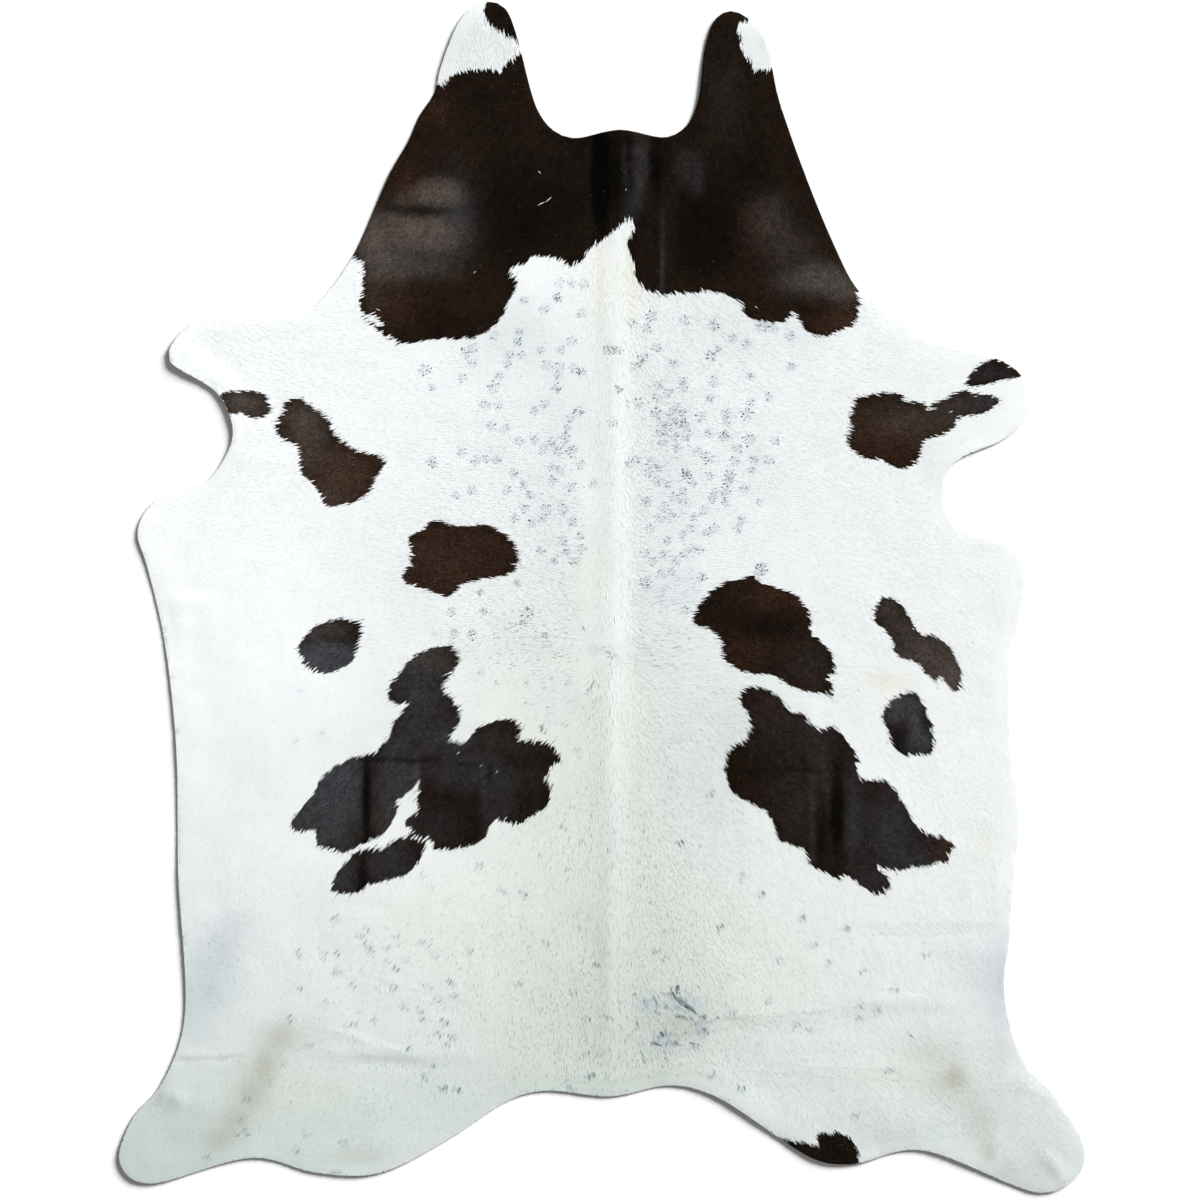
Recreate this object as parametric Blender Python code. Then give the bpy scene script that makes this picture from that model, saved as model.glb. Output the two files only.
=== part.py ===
# One whole cowhide, tanned with its hair on and cut round its natural outline, lying flat with the coat up.
# Metres, +Z up. The origin is on the floor under the middle of the hide; the neck points to +Y.

import math

import bmesh
import bpy
import numpy as np
from mathutils.geometry import delaunay_2d_cdt

MM = 0.001

# Driving dimensions
SKIN_THICKNESS = 2.5 * MM    # the leather
COAT_DEPTH = 2.5 * MM        # the hair, which lies flat on it
SHORT_COAT_DEPTH = 1.0 * MM  # the hair at the cut edge
SHORT_COAT_WIDTH = 30 * MM   # how far in from the edge the coat gets its full depth
EDGE_ROUND_TOP = 2.5 * MM    # how far the cut edge is rounded in above
EDGE_ROUND_UNDER = 1.2 * MM  # and below
LIFT_WIDTH = 70 * MM         # how far in a curled edge comes down to the floor

# Facets
EDGE_STEP = 16 * MM
EDGE_BAND = 22 * MM
FIELD_STEP = 50 * MM
UNDER_STEP = 150 * MM

# The cut edge, clockwise seen from above. Each row is a stretch of it: its name, then its points (x, y) in
# millimetres from the middle of the hide.
CUT_EDGE = {
    "neck notch": ((34, 888), (125, 874), (163, 897)),
    "right neck flap": ((182, 939), (197, 1047), (218, 1100), (245, 1113), (277, 1100), (311, 1055), (338, 941)),
    "right cheek": ((437, 679), (490, 580), (541, 544), (596, 498), (651, 475)),
    "right foreleg": ((762, 449), (796, 422), (813, 380), (802, 335), (767, 302)),
    "right armpit": ((674, 259), (650, 223), (661, 145), (697, 118)),
    "right elbow": ((756, 107), (792, 78), (804, 33)),
    "right flank": ((775, -131), (779, -309), (793, -420), (782, -537), (774, -651)),
    "right stifle": ((764, -746), (798, -877), (849, -933)),
    "right hind leg": ((916, -1043), (914, -1081), (889, -1113), (836, -1131)),
    "right rump": ((600, -1049), (477, -1076), (410, -1069)),
    "tail edge": ((213, -946), (133, -927), (19, -948), (-107, -937), (-171, -953)),
    "left rump": ((-293, -1031), (-426, -1094), (-546, -1092), (-658, -1064)),
    "left hind leg": ((-855, -1113), (-895, -1102), (-916, -1066), (-886, -982)),
    "left stifle": ((-840, -931), (-794, -815)),
    "left flank": ((-804, -518), (-808, -281), (-831, -78)),
    "left elbow": ((-863, 59), (-881, 128), (-844, 187)),
    "left armpit": ((-756, 215), (-705, 287), (-701, 327)),
    "left foreleg": ((-730, 388), (-819, 447), (-821, 468), (-770, 525)),
    "left cheek": ((-576, 534), (-487, 624), (-399, 810), (-365, 869)),
    "left neck flap": ((-346, 914), (-316, 960), (-308, 998), (-268, 1097), (-243, 1123), (-213, 1131),
                       (-183, 1118), (-120, 922), (-91, 886), (-55, 872)),
}

# Low ridges of the upper side, all in millimetres. A trough is a ridge with a negative rise.
CREASES = (
    # name                      start          end            rise  half width
    ("hair along the spine",    (26, 640),     (20, -945),     2.2,  26),
    ("dark neck hollow",        (8, 872),      (8, 700),      -1.2,  24),
    ("neck ridge",              (72, 866),     (72, 726),      1.0,  18),
    ("long neck fold",          (120, 870),    (112, 584),     1.4,  12),
    ("left foreleg pleat",      (-732, 386),   (-688, 411),    2.0,  10),
    ("left belly fold",         (-840, -38),   (-716, -38),    1.4,  16),
    ("left hip fold, outer",    (-437, -296),  (-456, -471),   1.6,  13),
    ("left hip fold, middle",   (-346, -290),  (-346, -471),   1.2,  12),
    ("left hip fold, inner",    (-219, -243),  (-219, -442),   1.4,  13),
    ("left hip cross fold",     (-365, -309),  (-213, -309),   1.0,  14),
    ("right hip fold, inner",   (399, -195),   (399, -518),    1.4,  14),
    ("right hip fold, outer",   (461, -290),   (461, -537),    1.6,  16),
    ("left rump fold, high",    (-460, -727),  (-308, -765),   1.2,  14),
    ("left rump fold, low",     (-536, -864),  (-232, -872),   1.6,  12),
    ("left rump trough",        (-489, -887),  (-346, -891),  -1.2,  10),
    ("left stifle fold",        (-806, -876),  (-650, -879),   1.8,  12),
    ("left hind leg fold",      (-840, -936),  (-783, -959),   1.8,  14),
    ("right loin fold",         (490, -765),   (680, -765),    1.4,  16),
    ("right rump fold",         (300, -904),   (680, -904),    1.2,  18),
    ("right stifle fold",       (770, -917),   (850, -917),    1.2,  14),
    ("right hind leg fold",     (830, -1050),  (880, -1100),   1.6,  14),
)

# Where the cut edge has curled up off the floor, all in millimetres.
EDGE_LIFTS = (
    # name                 middle         lift  reach
    ("left neck flap",     (-290, 1060),  3.5,   90),
    ("neck notch, left",   (-105, 900),   2.0,   70),
    ("neck notch, right",  (180, 960),    3.5,   85),
    ("right neck flap",    (212, 1085),   3.0,   70),
    ("left cheek",         (-400, 800),   2.5,  120),
    ("left foreleg",       (-815, 440),   7.0,   95),
    ("left armpit",        (-715, 345),   6.5,   85),
    ("right armpit",       (700, 265),    3.0,   80),
    ("left elbow",         (-885, 120),   3.0,   90),
    ("left belly",         (-812, -260),  2.5,  210),
    ("left loin",          (-800, -640),  3.5,  190),
    ("left stifle",        (-820, -890),  2.5,   90),
    ("left hind leg",      (-905, -1090), 5.0,  110),
    ("left thigh",         (-690, -1058), 3.0,  100),
    ("left rump",          (-470, -1098), 3.5,  130),
    ("tail edge",          (-60, -935),   2.5,  120),
    ("right of the tail",  (250, -975),   5.0,  130),
    ("right rump",         (420, -1075),  5.5,  110),
    ("right thigh",        (660, -1062),  4.0,  140),
    ("right hind leg",     (860, -1130),  3.5,   90),
)
LEAST_LIFT = 0.1 * MM        # the underside lies on the floor where it would lift less


def smooth(value):
    value = np.clip(value, 0, 1)
    return value * value * (3 - 2 * value)


def curve_span(before, start, end, after, steps):
    # A Catmull-Rom span. Its knots follow the square root of the chords, so that it never loops.
    first, middle, last = (math.sqrt(math.dist(a, b)) for a, b in ((before, start), (start, end), (end, after)))
    leaving = (start - before) * middle / first - (end - before) * middle / (first + middle) + end - start
    arriving = end - start - (after - start) * middle / (middle + last) + (after - end) * middle / last
    share = np.arange(steps)[:, None] / steps
    bend = 2 * (start - end) + leaving + arriving
    return start + share * (leaving + share * (3 * (end - start) - 2 * leaving - arriving + share * bend))


def edge_points():
    # The smooth cut edge through its landmarks, centred on the origin by its box.
    marks = np.array([point for stretch in CUT_EDGE.values() for point in stretch]) * MM
    spans = []
    for i, start in enumerate(marks):
        end = marks[(i + 1) % len(marks)]
        steps = max(1, round(math.dist(start, end) / EDGE_STEP))
        spans.append(curve_span(marks[i - 1], start, end, marks[(i + 2) % len(marks)], steps))
    points = np.concatenate(spans)
    return points - (points.min(axis=0) + points.max(axis=0)) / 2


EDGE = edge_points()


def inset_edge(distance):
    along = np.roll(EDGE, -1, axis=0) - np.roll(EDGE, 1, axis=0)
    along /= np.linalg.norm(along, axis=1)[:, None]
    return EDGE + distance * np.stack((along[:, 1], -along[:, 0]), axis=1)


def from_edge(points):
    # The distance of each point to the nearest stretch of the edge.
    nearest = np.full(len(points), np.inf)
    for start, end in zip(EDGE, np.roll(EDGE, -1, axis=0)):
        share = np.clip((points - start) @ (end - start) / np.sum((end - start) ** 2), 0, 1)
        foot = start + share[:, None] * (end - start)
        nearest = np.minimum(nearest, np.linalg.norm(points - foot, axis=1))
    return nearest


def inside(points):
    # Whether each point lies inside the edge: a ray from it to +X crosses the edge an odd number of times.
    odd = np.zeros(len(points), dtype=bool)
    for (start_x, start_y), (end_x, end_y) in zip(EDGE, np.roll(EDGE, -1, axis=0)):
        if start_y != end_y:
            crossing = start_x + (points[:, 1] - start_y) * (end_x - start_x) / (end_y - start_y)
            odd ^= ((points[:, 1] < start_y) != (points[:, 1] < end_y)) & (points[:, 0] < crossing)
    return odd


def lift(points):
    # Height of the underside over the floor.
    height = np.zeros(len(points))
    for _, middle, rise, reach in EDGE_LIFTS:
        away = np.linalg.norm(points - np.array(middle) * MM, axis=1) / (reach * MM)
        height = np.maximum(height, rise * MM * np.exp(-away ** 2))
    height *= 1 - smooth(from_edge(points) / LIFT_WIDTH)
    return np.where(height < LEAST_LIFT, 0, height)


def creases(points):
    height = np.zeros(len(points))
    for _, start, end, rise, half_width in CREASES:
        start, end = np.array(start) * MM, np.array(end) * MM
        length = math.dist(start, end)
        along = (points - start) @ (end - start) / length ** 2
        across = (points - start) @ np.array((start[1] - end[1], end[0] - start[0])) / length / (half_width * MM)
        fade = smooth(4 * along + 0.4) * smooth(4 * (1 - along) + 0.4)
        height += rise * MM * np.exp(-across ** 2) * fade
    return height


def coat_top(points):
    # Height of the coat over the floor.
    full = smooth(from_edge(points) / SHORT_COAT_WIDTH)
    coat = SHORT_COAT_DEPTH + (COAT_DEPTH - SHORT_COAT_DEPTH) * full
    return lift(points) + SKIN_THICKNESS + coat + creases(points) * full


def triangle_grid(step):
    # The corners of even triangles over the hide's box.
    row_step = step * math.sqrt(3) / 2
    low, high = EDGE.min(axis=0), EDGE.max(axis=0)
    points = []
    for row in range(int((high[1] - low[1]) / row_step) + 1):
        for column in range(int((high[0] - low[0]) / step) + 1):
            points.append((low[0] + (column + row % 2 / 2) * step, low[1] + row * row_step))
    return np.array(points)


def crease_lines():
    # Three lines of points along each crease: its crest, and the feet of its two flanks.
    lines = []
    for _, start, end, _, half_width in CREASES:
        start, end = np.array(start) * MM, np.array(end) * MM
        foot = np.array((start[1] - end[1], end[0] - start[0])) / math.dist(start, end) * half_width * MM * 1.3
        steps = round(math.dist(start, end) / (2 * half_width * MM))
        share = np.arange(steps + 1)[:, None] / steps
        lines += [start + share * (end - start) + offset for offset in (-foot, 0 * foot, foot)]
    return np.concatenate(lines)


def spread(*groups):
    # The points of every group (points, gap), first group first. One nearer the edge, or nearer a point
    # that was kept before it, than its group's gap is left out.
    kept = np.empty((0, 2))
    for points, gap in groups:
        points = points[inside(points)]
        for point in points[from_edge(points) > 0.8 * gap]:
            if not len(kept) or np.linalg.norm(kept - point, axis=1).min() > gap:
                kept = np.vstack((kept, point))
    return kept


def upper_field():
    return spread((crease_lines(), 0.35 * EDGE_BAND), (inset_edge(EDGE_BAND)[::2], 0.9 * EDGE_BAND),
                  (triangle_grid(FIELD_STEP), 0.6 * FIELD_STEP))


def under_field():
    # Close rows only where the edge is lifted.
    close = triangle_grid(0.6 * FIELD_STEP)
    close = close[lift(close) > 0]
    return spread((close, 0.4 * FIELD_STEP), (triangle_grid(UNDER_STEP), 0.6 * UNDER_STEP))


def add_sheet(mesh, rim, rim_height, field, height, facing_up):
    # Fills a rim through the points of a field, and returns the rim's vertices.
    corners, _, triangles = delaunay_2d_cdt([tuple(p) for p in (*rim, *field)], [], [range(len(rim))], 1, 1e-6)[:3]
    flat = np.array([tuple(corner) for corner in corners])
    heights = np.concatenate((rim_height, height(flat[len(rim):])))
    vertices = [mesh.verts.new((x, y, z)) for (x, y), z in zip(flat, heights)]
    for triangle in triangles:
        mesh.faces.new([vertices[i] for i in (triangle if facing_up else reversed(triangle))])
    return vertices[:len(rim)]


def hide_mesh():
    mesh = bmesh.new()
    floor_lift = lift(EDGE)
    edge_depth = SKIN_THICKNESS + SHORT_COAT_DEPTH
    top = add_sheet(mesh, inset_edge(EDGE_ROUND_TOP), floor_lift + edge_depth, upper_field(), coat_top, True)
    under = add_sheet(mesh, inset_edge(EDGE_ROUND_UNDER), floor_lift, under_field(), lift, False)
    side = [mesh.verts.new((x, y, z + edge_depth / 2)) for (x, y), z in zip(EDGE, floor_lift)]
    for high, low in ((top, side), (side, under)):
        for i in range(len(EDGE)):
            mesh.faces.new((high[i - 1], high[i], low[i], low[i - 1]))
    bmesh.ops.triangulate(mesh, faces=mesh.faces)
    return mesh


def coat_material():
    material = bpy.data.materials.new("white_coat")
    material.use_nodes = True
    shader = material.node_tree.nodes["Principled BSDF"]
    shader.inputs["Base Color"].default_value = (0.84, 0.87, 0.84, 1)
    shader.inputs["Roughness"].default_value = 0.55
    shader.inputs["Metallic"].default_value = 0
    return material


for leftover in list(bpy.data.objects):
    bpy.data.objects.remove(leftover, do_unlink=True)

hide_data = bpy.data.meshes.new("hide")
shaped = hide_mesh()
shaped.to_mesh(hide_data)
shaped.free()
hide_data.materials.append(coat_material())
hide_data.shade_smooth()
hide = bpy.data.objects.new("hide", hide_data)
bpy.context.scene.collection.objects.link(hide)
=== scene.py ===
# Looks of the cowhide rug: the leather with its suede underside, the lying coat of hair with its dark
# patches and flecks, a white studio floor, soft light from the upper right and a camera straight above.
import math

import bmesh
import bpy
import numpy as np
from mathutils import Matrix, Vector
from mathutils.bvhtree import BVHTree
from mathutils.kdtree import KDTree


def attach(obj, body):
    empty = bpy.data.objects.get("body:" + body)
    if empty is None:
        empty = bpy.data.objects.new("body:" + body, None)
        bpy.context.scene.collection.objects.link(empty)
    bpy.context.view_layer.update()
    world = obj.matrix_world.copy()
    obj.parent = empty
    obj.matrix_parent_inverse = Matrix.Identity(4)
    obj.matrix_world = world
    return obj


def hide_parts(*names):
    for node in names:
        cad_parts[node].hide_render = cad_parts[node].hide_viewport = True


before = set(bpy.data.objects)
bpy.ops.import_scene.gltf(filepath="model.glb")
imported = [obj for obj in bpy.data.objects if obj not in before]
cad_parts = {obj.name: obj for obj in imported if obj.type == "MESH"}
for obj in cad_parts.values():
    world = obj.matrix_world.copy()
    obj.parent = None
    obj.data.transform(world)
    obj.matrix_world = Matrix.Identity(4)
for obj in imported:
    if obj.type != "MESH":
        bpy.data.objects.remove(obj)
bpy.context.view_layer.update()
chance = np.random.default_rng(11)

# Places on the coat are written in the photo's pixels, across and down its 1200 x 1200 frame.
photo = {
    "pixel": 0.0019,            # metres
    "middle": (602.15, 597.2),  # the pixel over the middle of the hide
    "spine": 613,               # the pixel column of the spine
    "whorl": (612, 655),        # where the hair parts in a whorl
}
mm = 0.001


def fromPhoto(places):
    places = np.asarray(places, dtype=float)
    return (places - photo["middle"]) * (photo["pixel"], -photo["pixel"])


def toPhoto(points):
    return points[:, :2] / (photo["pixel"], -photo["pixel"]) + photo["middle"]


def smooth(value):
    value = np.clip(value, 0, 1)
    return value * value * (3 - 2 * value)


def closeness(gap, reach):
    # 1 at a place, and soon 0 past its reach.
    return np.exp(-(gap / reach) ** 2)


def past(value, start, fade):
    # 0 up to start, and 1 from start + fade on.
    return smooth((value - start) / fade)


def blend(first, second, share):
    return first + (second - first) * share


def linear(code):
    # A colour as the screen shows it, such as "f4f8fb", in the light's own scale.
    parts = [int(code[i:i + 2], 16) / 255 for i in (0, 2, 4)]
    return tuple(c / 12.92 if c < 0.04045 else ((c + 0.055) / 1.055) ** 2.4 for c in parts) + (1,)


# Shader nodes


class Wire:
    # The output of a node. Sums written on it become Math nodes.
    def __init__(self, finish, socket):
        self.finish = finish
        self.socket = socket

    def maths(self, operation, first, second):
        return self.finish.node("ShaderNodeMath", {"operation": operation}, {0: first, 1: second})

    def __add__(self, other):
        return self.maths("ADD", self, other)

    def __mul__(self, other):
        return self.maths("MULTIPLY", self, other)

    def __sub__(self, other):
        return self.maths("SUBTRACT", self, other)

    def __rsub__(self, other):
        return self.maths("SUBTRACT", other, self)

    __radd__ = __add__
    __rmul__ = __mul__


class Finish:
    def __init__(self, name):
        self.material = bpy.data.materials.new(name)
        self.material.use_nodes = True
        self.tree = self.material.node_tree
        self.tree.nodes.clear()

    def node(self, kind, settings=None, inputs=None, output=0):
        made = self.tree.nodes.new(kind)
        for name, value in (settings or {}).items():
            setattr(made, name, value)
        for name, value in (inputs or {}).items():
            if isinstance(value, Wire):
                self.tree.links.new(value.socket, made.inputs[name])
            else:
                made.inputs[name].default_value = value
        return None if output is None else Wire(self, made.outputs[output])

    def attribute(self, name):
        return self.node("ShaderNodeAttribute", {"attribute_name": name}, output="Fac")

    def mix(self, share, first, second):
        return self.node("ShaderNodeMix", {"data_type": "RGBA"}, {0: share, 6: first, 7: second}, output=2)

    def between(self, value, low, high):
        # 0 below low and 1 above high, with soft ends.
        return self.node("ShaderNodeMapRange", {"interpolation_type": "SMOOTHSTEP"},
                         {"Value": value, "From Min": low, "From Max": high})

    def noise(self, place, scale, detail=2.0, roughness=0.5):
        return self.node("ShaderNodeTexNoise", None,
                         {"Vector": place, "Scale": scale, "Detail": detail, "Roughness": roughness})

    def close(self, colour, roughness, specular, **others):
        inputs = {"Base Color": colour, "Roughness": roughness, "Specular IOR Level": specular, **others}
        surface = self.node("ShaderNodeBsdfPrincipled", None, inputs)
        self.node("ShaderNodeOutputMaterial", None, {"Surface": surface}, output=None)
        return self.material


# The dark patches, each a closed outline. The neck's runs on past the cut edge.
patches = {
    "neck": (
        (352, 259), (361, 264), (362, 285), (359, 306), (367, 321), (386, 337), (408, 345), (432, 340),
        (476, 338), (498, 323), (510, 300), (518, 283), (511, 269), (524, 265), (532, 258), (559, 261),
        (571, 267), (582, 262), (588, 252), (603, 241), (617, 231), (629, 220), (634, 223), (632, 233),
        (627, 241), (632, 262), (639, 284), (650, 293), (690, 294), (716, 293), (740, 303), (745, 315),
        (764, 323), (788, 321), (794, 314), (801, 325), (818, 337), (843, 331), (856, 323), (860, 305),
        (859, 291), (885, 280), (860, 100), (760, -20), (600, 60), (480, -20), (380, 100), (330, 240)),
    "left foreleg": (
        (221, 394), (240, 391), (258, 392), (270, 400), (270, 413), (255, 419), (238, 413), (229, 415),
        (225, 405)),
    "left shoulder": (
        (284, 402), (302, 400), (330, 420), (335, 433), (352, 447), (374, 454), (385, 461), (378, 477),
        (368, 494), (347, 505), (325, 506), (317, 490), (300, 471), (297, 448), (281, 438), (275, 427),
        (281, 413)),
    "left middle": (
        (409, 537), (422, 530), (432, 521), (462, 526), (488, 525), (513, 542), (519, 560), (512, 573),
        (480, 580), (462, 585), (449, 597), (425, 590), (402, 582), (402, 573), (410, 563)),
    "left round": (
        (298, 650), (303, 637), (320, 624), (340, 619), (362, 624), (360, 642), (350, 664), (323, 674),
        (306, 667)),
    "left hip": (
        (386, 696), (397, 675), (412, 657), (424, 650), (439, 647), (450, 645), (460, 657), (457, 667),
        (444, 688), (450, 695), (457, 706), (462, 718), (457, 728), (450, 735), (454, 741), (465, 741),
        (478, 727), (490, 722), (510, 718), (519, 722), (522, 730), (520, 739), (539, 741), (551, 745),
        (562, 760), (551, 768), (547, 779), (551, 787), (546, 807), (529, 819), (517, 825), (499, 821),
        (493, 823), (485, 838), (473, 846), (458, 849), (446, 851), (433, 849), (432, 841), (415, 838),
        (406, 830), (405, 821), (418, 811), (416, 800), (419, 782), (406, 795), (397, 800), (398, 809),
        (387, 830), (380, 837), (362, 845), (344, 853), (331, 851), (319, 848), (312, 831), (302, 833),
        (292, 830), (290, 824), (302, 807), (312, 796), (319, 781), (329, 770), (353, 757), (376, 751),
        (389, 735), (393, 724), (401, 711), (408, 703), (395, 704)),
    "below the left hip": (
        (331, 890), (335, 876), (344, 863), (356, 852), (368, 848), (383, 848), (392, 840), (403, 836),
        (423, 840), (427, 845), (423, 855), (417, 865), (410, 872), (400, 877), (380, 883), (368, 887),
        (358, 893), (344, 894)),
    "right foreleg": (
        (966, 385), (967, 377), (974, 370), (982, 364), (994, 359), (1004, 362), (1013, 368), (1026, 375),
        (1010, 379), (999, 382), (984, 385), (973, 388)),
    "right shoulder": (
        (856, 399), (867, 396), (877, 392), (891, 392), (904, 396), (907, 401), (918, 401), (926, 403),
        (928, 409), (933, 403), (943, 399), (955, 393), (965, 391), (974, 394), (987, 394), (1001, 400),
        (994, 407), (987, 413), (974, 416), (960, 419), (955, 427), (943, 435), (928, 440), (922, 449),
        (920, 460), (911, 467), (901, 469), (889, 466), (882, 460), (867, 460), (857, 455), (849, 446),
        (846, 438), (850, 429), (849, 416)),
    "right middle": (
        (753, 574), (746, 578), (736, 580), (724, 582), (714, 588), (702, 599), (696, 610), (692, 620),
        (696, 625), (709, 629), (719, 640), (722, 647), (720, 654), (724, 659), (740, 670), (751, 674),
        (773, 676), (787, 684), (806, 692), (827, 694), (832, 699), (834, 696), (833, 684), (829, 679),
        (836, 671), (834, 660), (833, 654), (822, 641), (810, 629), (813, 624), (810, 612), (806, 605),
        (800, 598), (789, 591), (775, 587), (760, 580)),
    "right hip": (
        (751, 687), (759, 687), (768, 690), (778, 695), (784, 703), (792, 711), (800, 713), (809, 718),
        (811, 724), (825, 729), (829, 725), (838, 730), (846, 739), (854, 751), (859, 760), (857, 768),
        (859, 775), (865, 781), (877, 778), (887, 781), (896, 789), (902, 800), (909, 812), (913, 822),
        (930, 834), (940, 836), (955, 847), (949, 855), (949, 863), (940, 863), (930, 868), (921, 867),
        (901, 872), (887, 870), (878, 868), (887, 875), (890, 883), (891, 889), (877, 895), (867, 890),
        (857, 884), (845, 876), (838, 880), (831, 876), (818, 870), (809, 863), (804, 851), (792, 846),
        (779, 840), (775, 830), (768, 814), (756, 807), (743, 800), (735, 794), (729, 788), (726, 779),
        (723, 770), (726, 761), (726, 751), (743, 740), (748, 735), (749, 716), (742, 707), (739, 701),
        (743, 689)),
    "right flank streak": (
        (889, 596), (879, 600), (873, 618), (877, 624), (887, 634), (893, 644), (894, 652), (899, 657),
        (918, 665), (924, 673), (930, 677), (937, 685), (940, 678), (946, 685), (955, 693), (961, 691),
        (962, 678), (955, 655), (949, 645), (941, 640), (933, 634), (923, 635), (916, 629), (911, 618),
        (904, 608), (896, 600)),
    "right flank": (
        (894, 697), (910, 691), (917, 695), (923, 702), (927, 712), (932, 724), (934, 736), (935, 747),
        (930, 756), (916, 756), (904, 755), (896, 750), (889, 742), (889, 734), (886, 727), (882, 714),
        (884, 710)),
    "right rump": (
        (784, 1138), (796, 1142), (806, 1143), (818, 1143), (816, 1136), (818, 1131), (826, 1133),
        (833, 1131), (840, 1132), (850, 1137), (854, 1143), (857, 1149), (860, 1155), (857, 1164),
        (850, 1178), (800, 1175), (770, 1145)),
}

# White places inside the neck's dark patch.
clearings = {
    "left flap tip": (
        (486, -12), (486, 2), (484, 10), (485, 20), (491, 28), (500, 33), (507, 37), (515, 40), (519, 46),
        (540, 49), (519, 53), (510, 60), (503, 66), (500, 71), (490, 69), (475, 69), (465, 70), (455, 74),
        (448, 76), (441, 84), (420, 86), (430, -12)),
    "right flap tip": (
        (750, -12), (750, 20), (740, 22), (737, 30), (742, 38), (740, 46), (747, 55), (752, 63), (757, 70),
        (764, 69), (775, 67), (795, 60), (790, -12)),
    "cheek spot": ((365, 315), (371, 315), (379, 321), (383, 326), (375, 324)),
}


def rounded(outline, step=3.0):
    # A closed Catmull-Rom curve through an outline, in metres. Square-root knots keep it from looping.
    marks = np.array(outline, dtype=float)
    curve = []
    for i, start in enumerate(marks):
        before, end, after = marks[i - 1], marks[(i + 1) % len(marks)], marks[(i + 2) % len(marks)]
        spans = ((before, start), (start, end), (end, after))
        first, middle, last = (math.sqrt(math.dist(*span)) for span in spans)
        side = end - start
        leaving = (start - before) * middle / first - (end - before) * middle / (first + middle)
        leaving = leaving + end - start
        arriving = side - (after - start) * middle / (middle + last) + (after - end) * middle / last
        steps = max(1, round(math.dist(start, end) / step))
        share = np.arange(steps)[:, None] / steps
        bend = 2 * (start - end) + leaving + arriving
        lean = 3 * side - 2 * leaving - arriving
        curve.append(start + share * (leaving + share * (lean + share * bend)))
    return fromPhoto(np.concatenate(curve))


def depthInside(points, outline):
    # How far each point lies inside a closed outline, and below 0 how far outside it.
    side = np.roll(outline, -1, axis=0) - outline
    length = np.sum(side ** 2, axis=1)
    depth = np.empty(len(points))
    batch = 4000  # points at a time
    for first in range(0, len(points), batch):
        away = points[first:first + batch, None, :2] - outline
        share = np.clip(np.sum(away * side, axis=2) / length, 0, 1)
        gap = np.sqrt(np.min(np.sum((away - share[..., None] * side) ** 2, axis=2), axis=1))
        rise = np.where(side[:, 1] == 0, 1e-12, side[:, 1])
        crossed = (away[..., 1] < 0) != (away[..., 1] < side[:, 1])
        odd = np.sum(crossed & (away[..., 0] < away[..., 1] * side[:, 0] / rise), axis=1) % 2 == 1
        depth[first:first + batch] = np.where(odd, gap, -gap)
    return depth


def depthNear(points, outline, reach):
    # The same, worked out only within reach of the outline's box.
    low, high = outline.min(axis=0) - reach, outline.max(axis=0) + reach
    near = np.all((points[:, :2] > low) & (points[:, :2] < high), axis=1)
    depth = np.full(len(points), -reach)
    depth[near] = np.maximum(depthInside(points[near], outline), -reach)
    return depth


patchCurves = [rounded(outline) for outline in patches.values()]
clearingCurves = [rounded(outline) for outline in clearings.values()]
patchReach = 30 * mm


def patchDepth(points):
    # How far inside the dark coat each point lies.
    depth = np.full(len(points), -patchReach)
    for curve in patchCurves:
        depth = np.maximum(depth, depthNear(points, curve, patchReach))
    for curve in clearingCurves:
        depth = np.minimum(depth, -depthNear(points, curve, patchReach))
    return depth


# The lie of the hair, the same on both sides of the spine: (pixels out from the spine, pixel row, degrees
# above straight outwards).
combing = (
    (0, 130, -70), (60, 150, -70), (110, 66, 80), (130, 20, 95), (150, 60, 95), (110, 120, -70),
    (175, 150, -60), (190, 200, -50), (20, 250, -62), (80, 250, -45), (160, 250, -32), (240, 300, -20),
    (20, 340, -50), (90, 340, -32), (200, 380, -20), (20, 440, -18), (100, 440, -10), (230, 450, -22),
    (330, 440, -15), (330, 385, 5), (400, 370, 22), (430, 350, 32), (400, 420, 8),
    (20, 540, 12), (100, 540, 12), (180, 550, 0), (300, 520, -18), (420, 520, -20),
    (20, 600, 24), (80, 610, 16), (150, 620, -2), (250, 620, -22), (400, 600, -35),
    (20, 655, 0), (100, 660, -12), (200, 670, -30), (350, 680, -40),
    (10, 720, -72), (60, 720, -50), (140, 730, -45), (230, 740, -46), (400, 750, -55),
    (10, 820, -84), (60, 820, -65), (150, 820, -50), (280, 830, -50), (410, 850, -62),
    (10, 950, -88), (80, 950, -72), (190, 950, -58), (310, 950, -56), (410, 950, -66),
    (10, 1070, -88), (120, 1080, -72), (250, 1120, -56), (350, 1040, -50), (450, 1100, -52),
)
comb = {
    "reach": 52,       # pixels round each of these places
    "parting": 44,     # pixels out from the spine over which the hair turns down it
    "downPull": 1.2,   # how firmly it does
    "whorlSize": 16,   # pixels
    "whorlTurn": 0.6,  # at 0 the whorl would be a plain parting
    "strandNet": 512,  # knots along each side of a random lattice
    "strandSteps": 7,  # at which it is read along a hair
}


def waves(points, size, turn=0.0):
    # Soft unevenness from -1 to 1, about size metres across.
    across = points[:, 0] * math.cos(turn) + points[:, 1] * math.sin(turn)
    along = points[:, 1] * math.cos(turn) - points[:, 0] * math.sin(turn)
    step = 2 * math.pi / size
    one = np.sin(across * step + 2.1 * np.sin(along * step * 0.53 + 1.3))
    two = np.sin(along * step * 0.87 + 1.7 * np.sin(across * step * 0.61 + 0.4) + 2.0)
    return 0.5 * (one + two)


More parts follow.
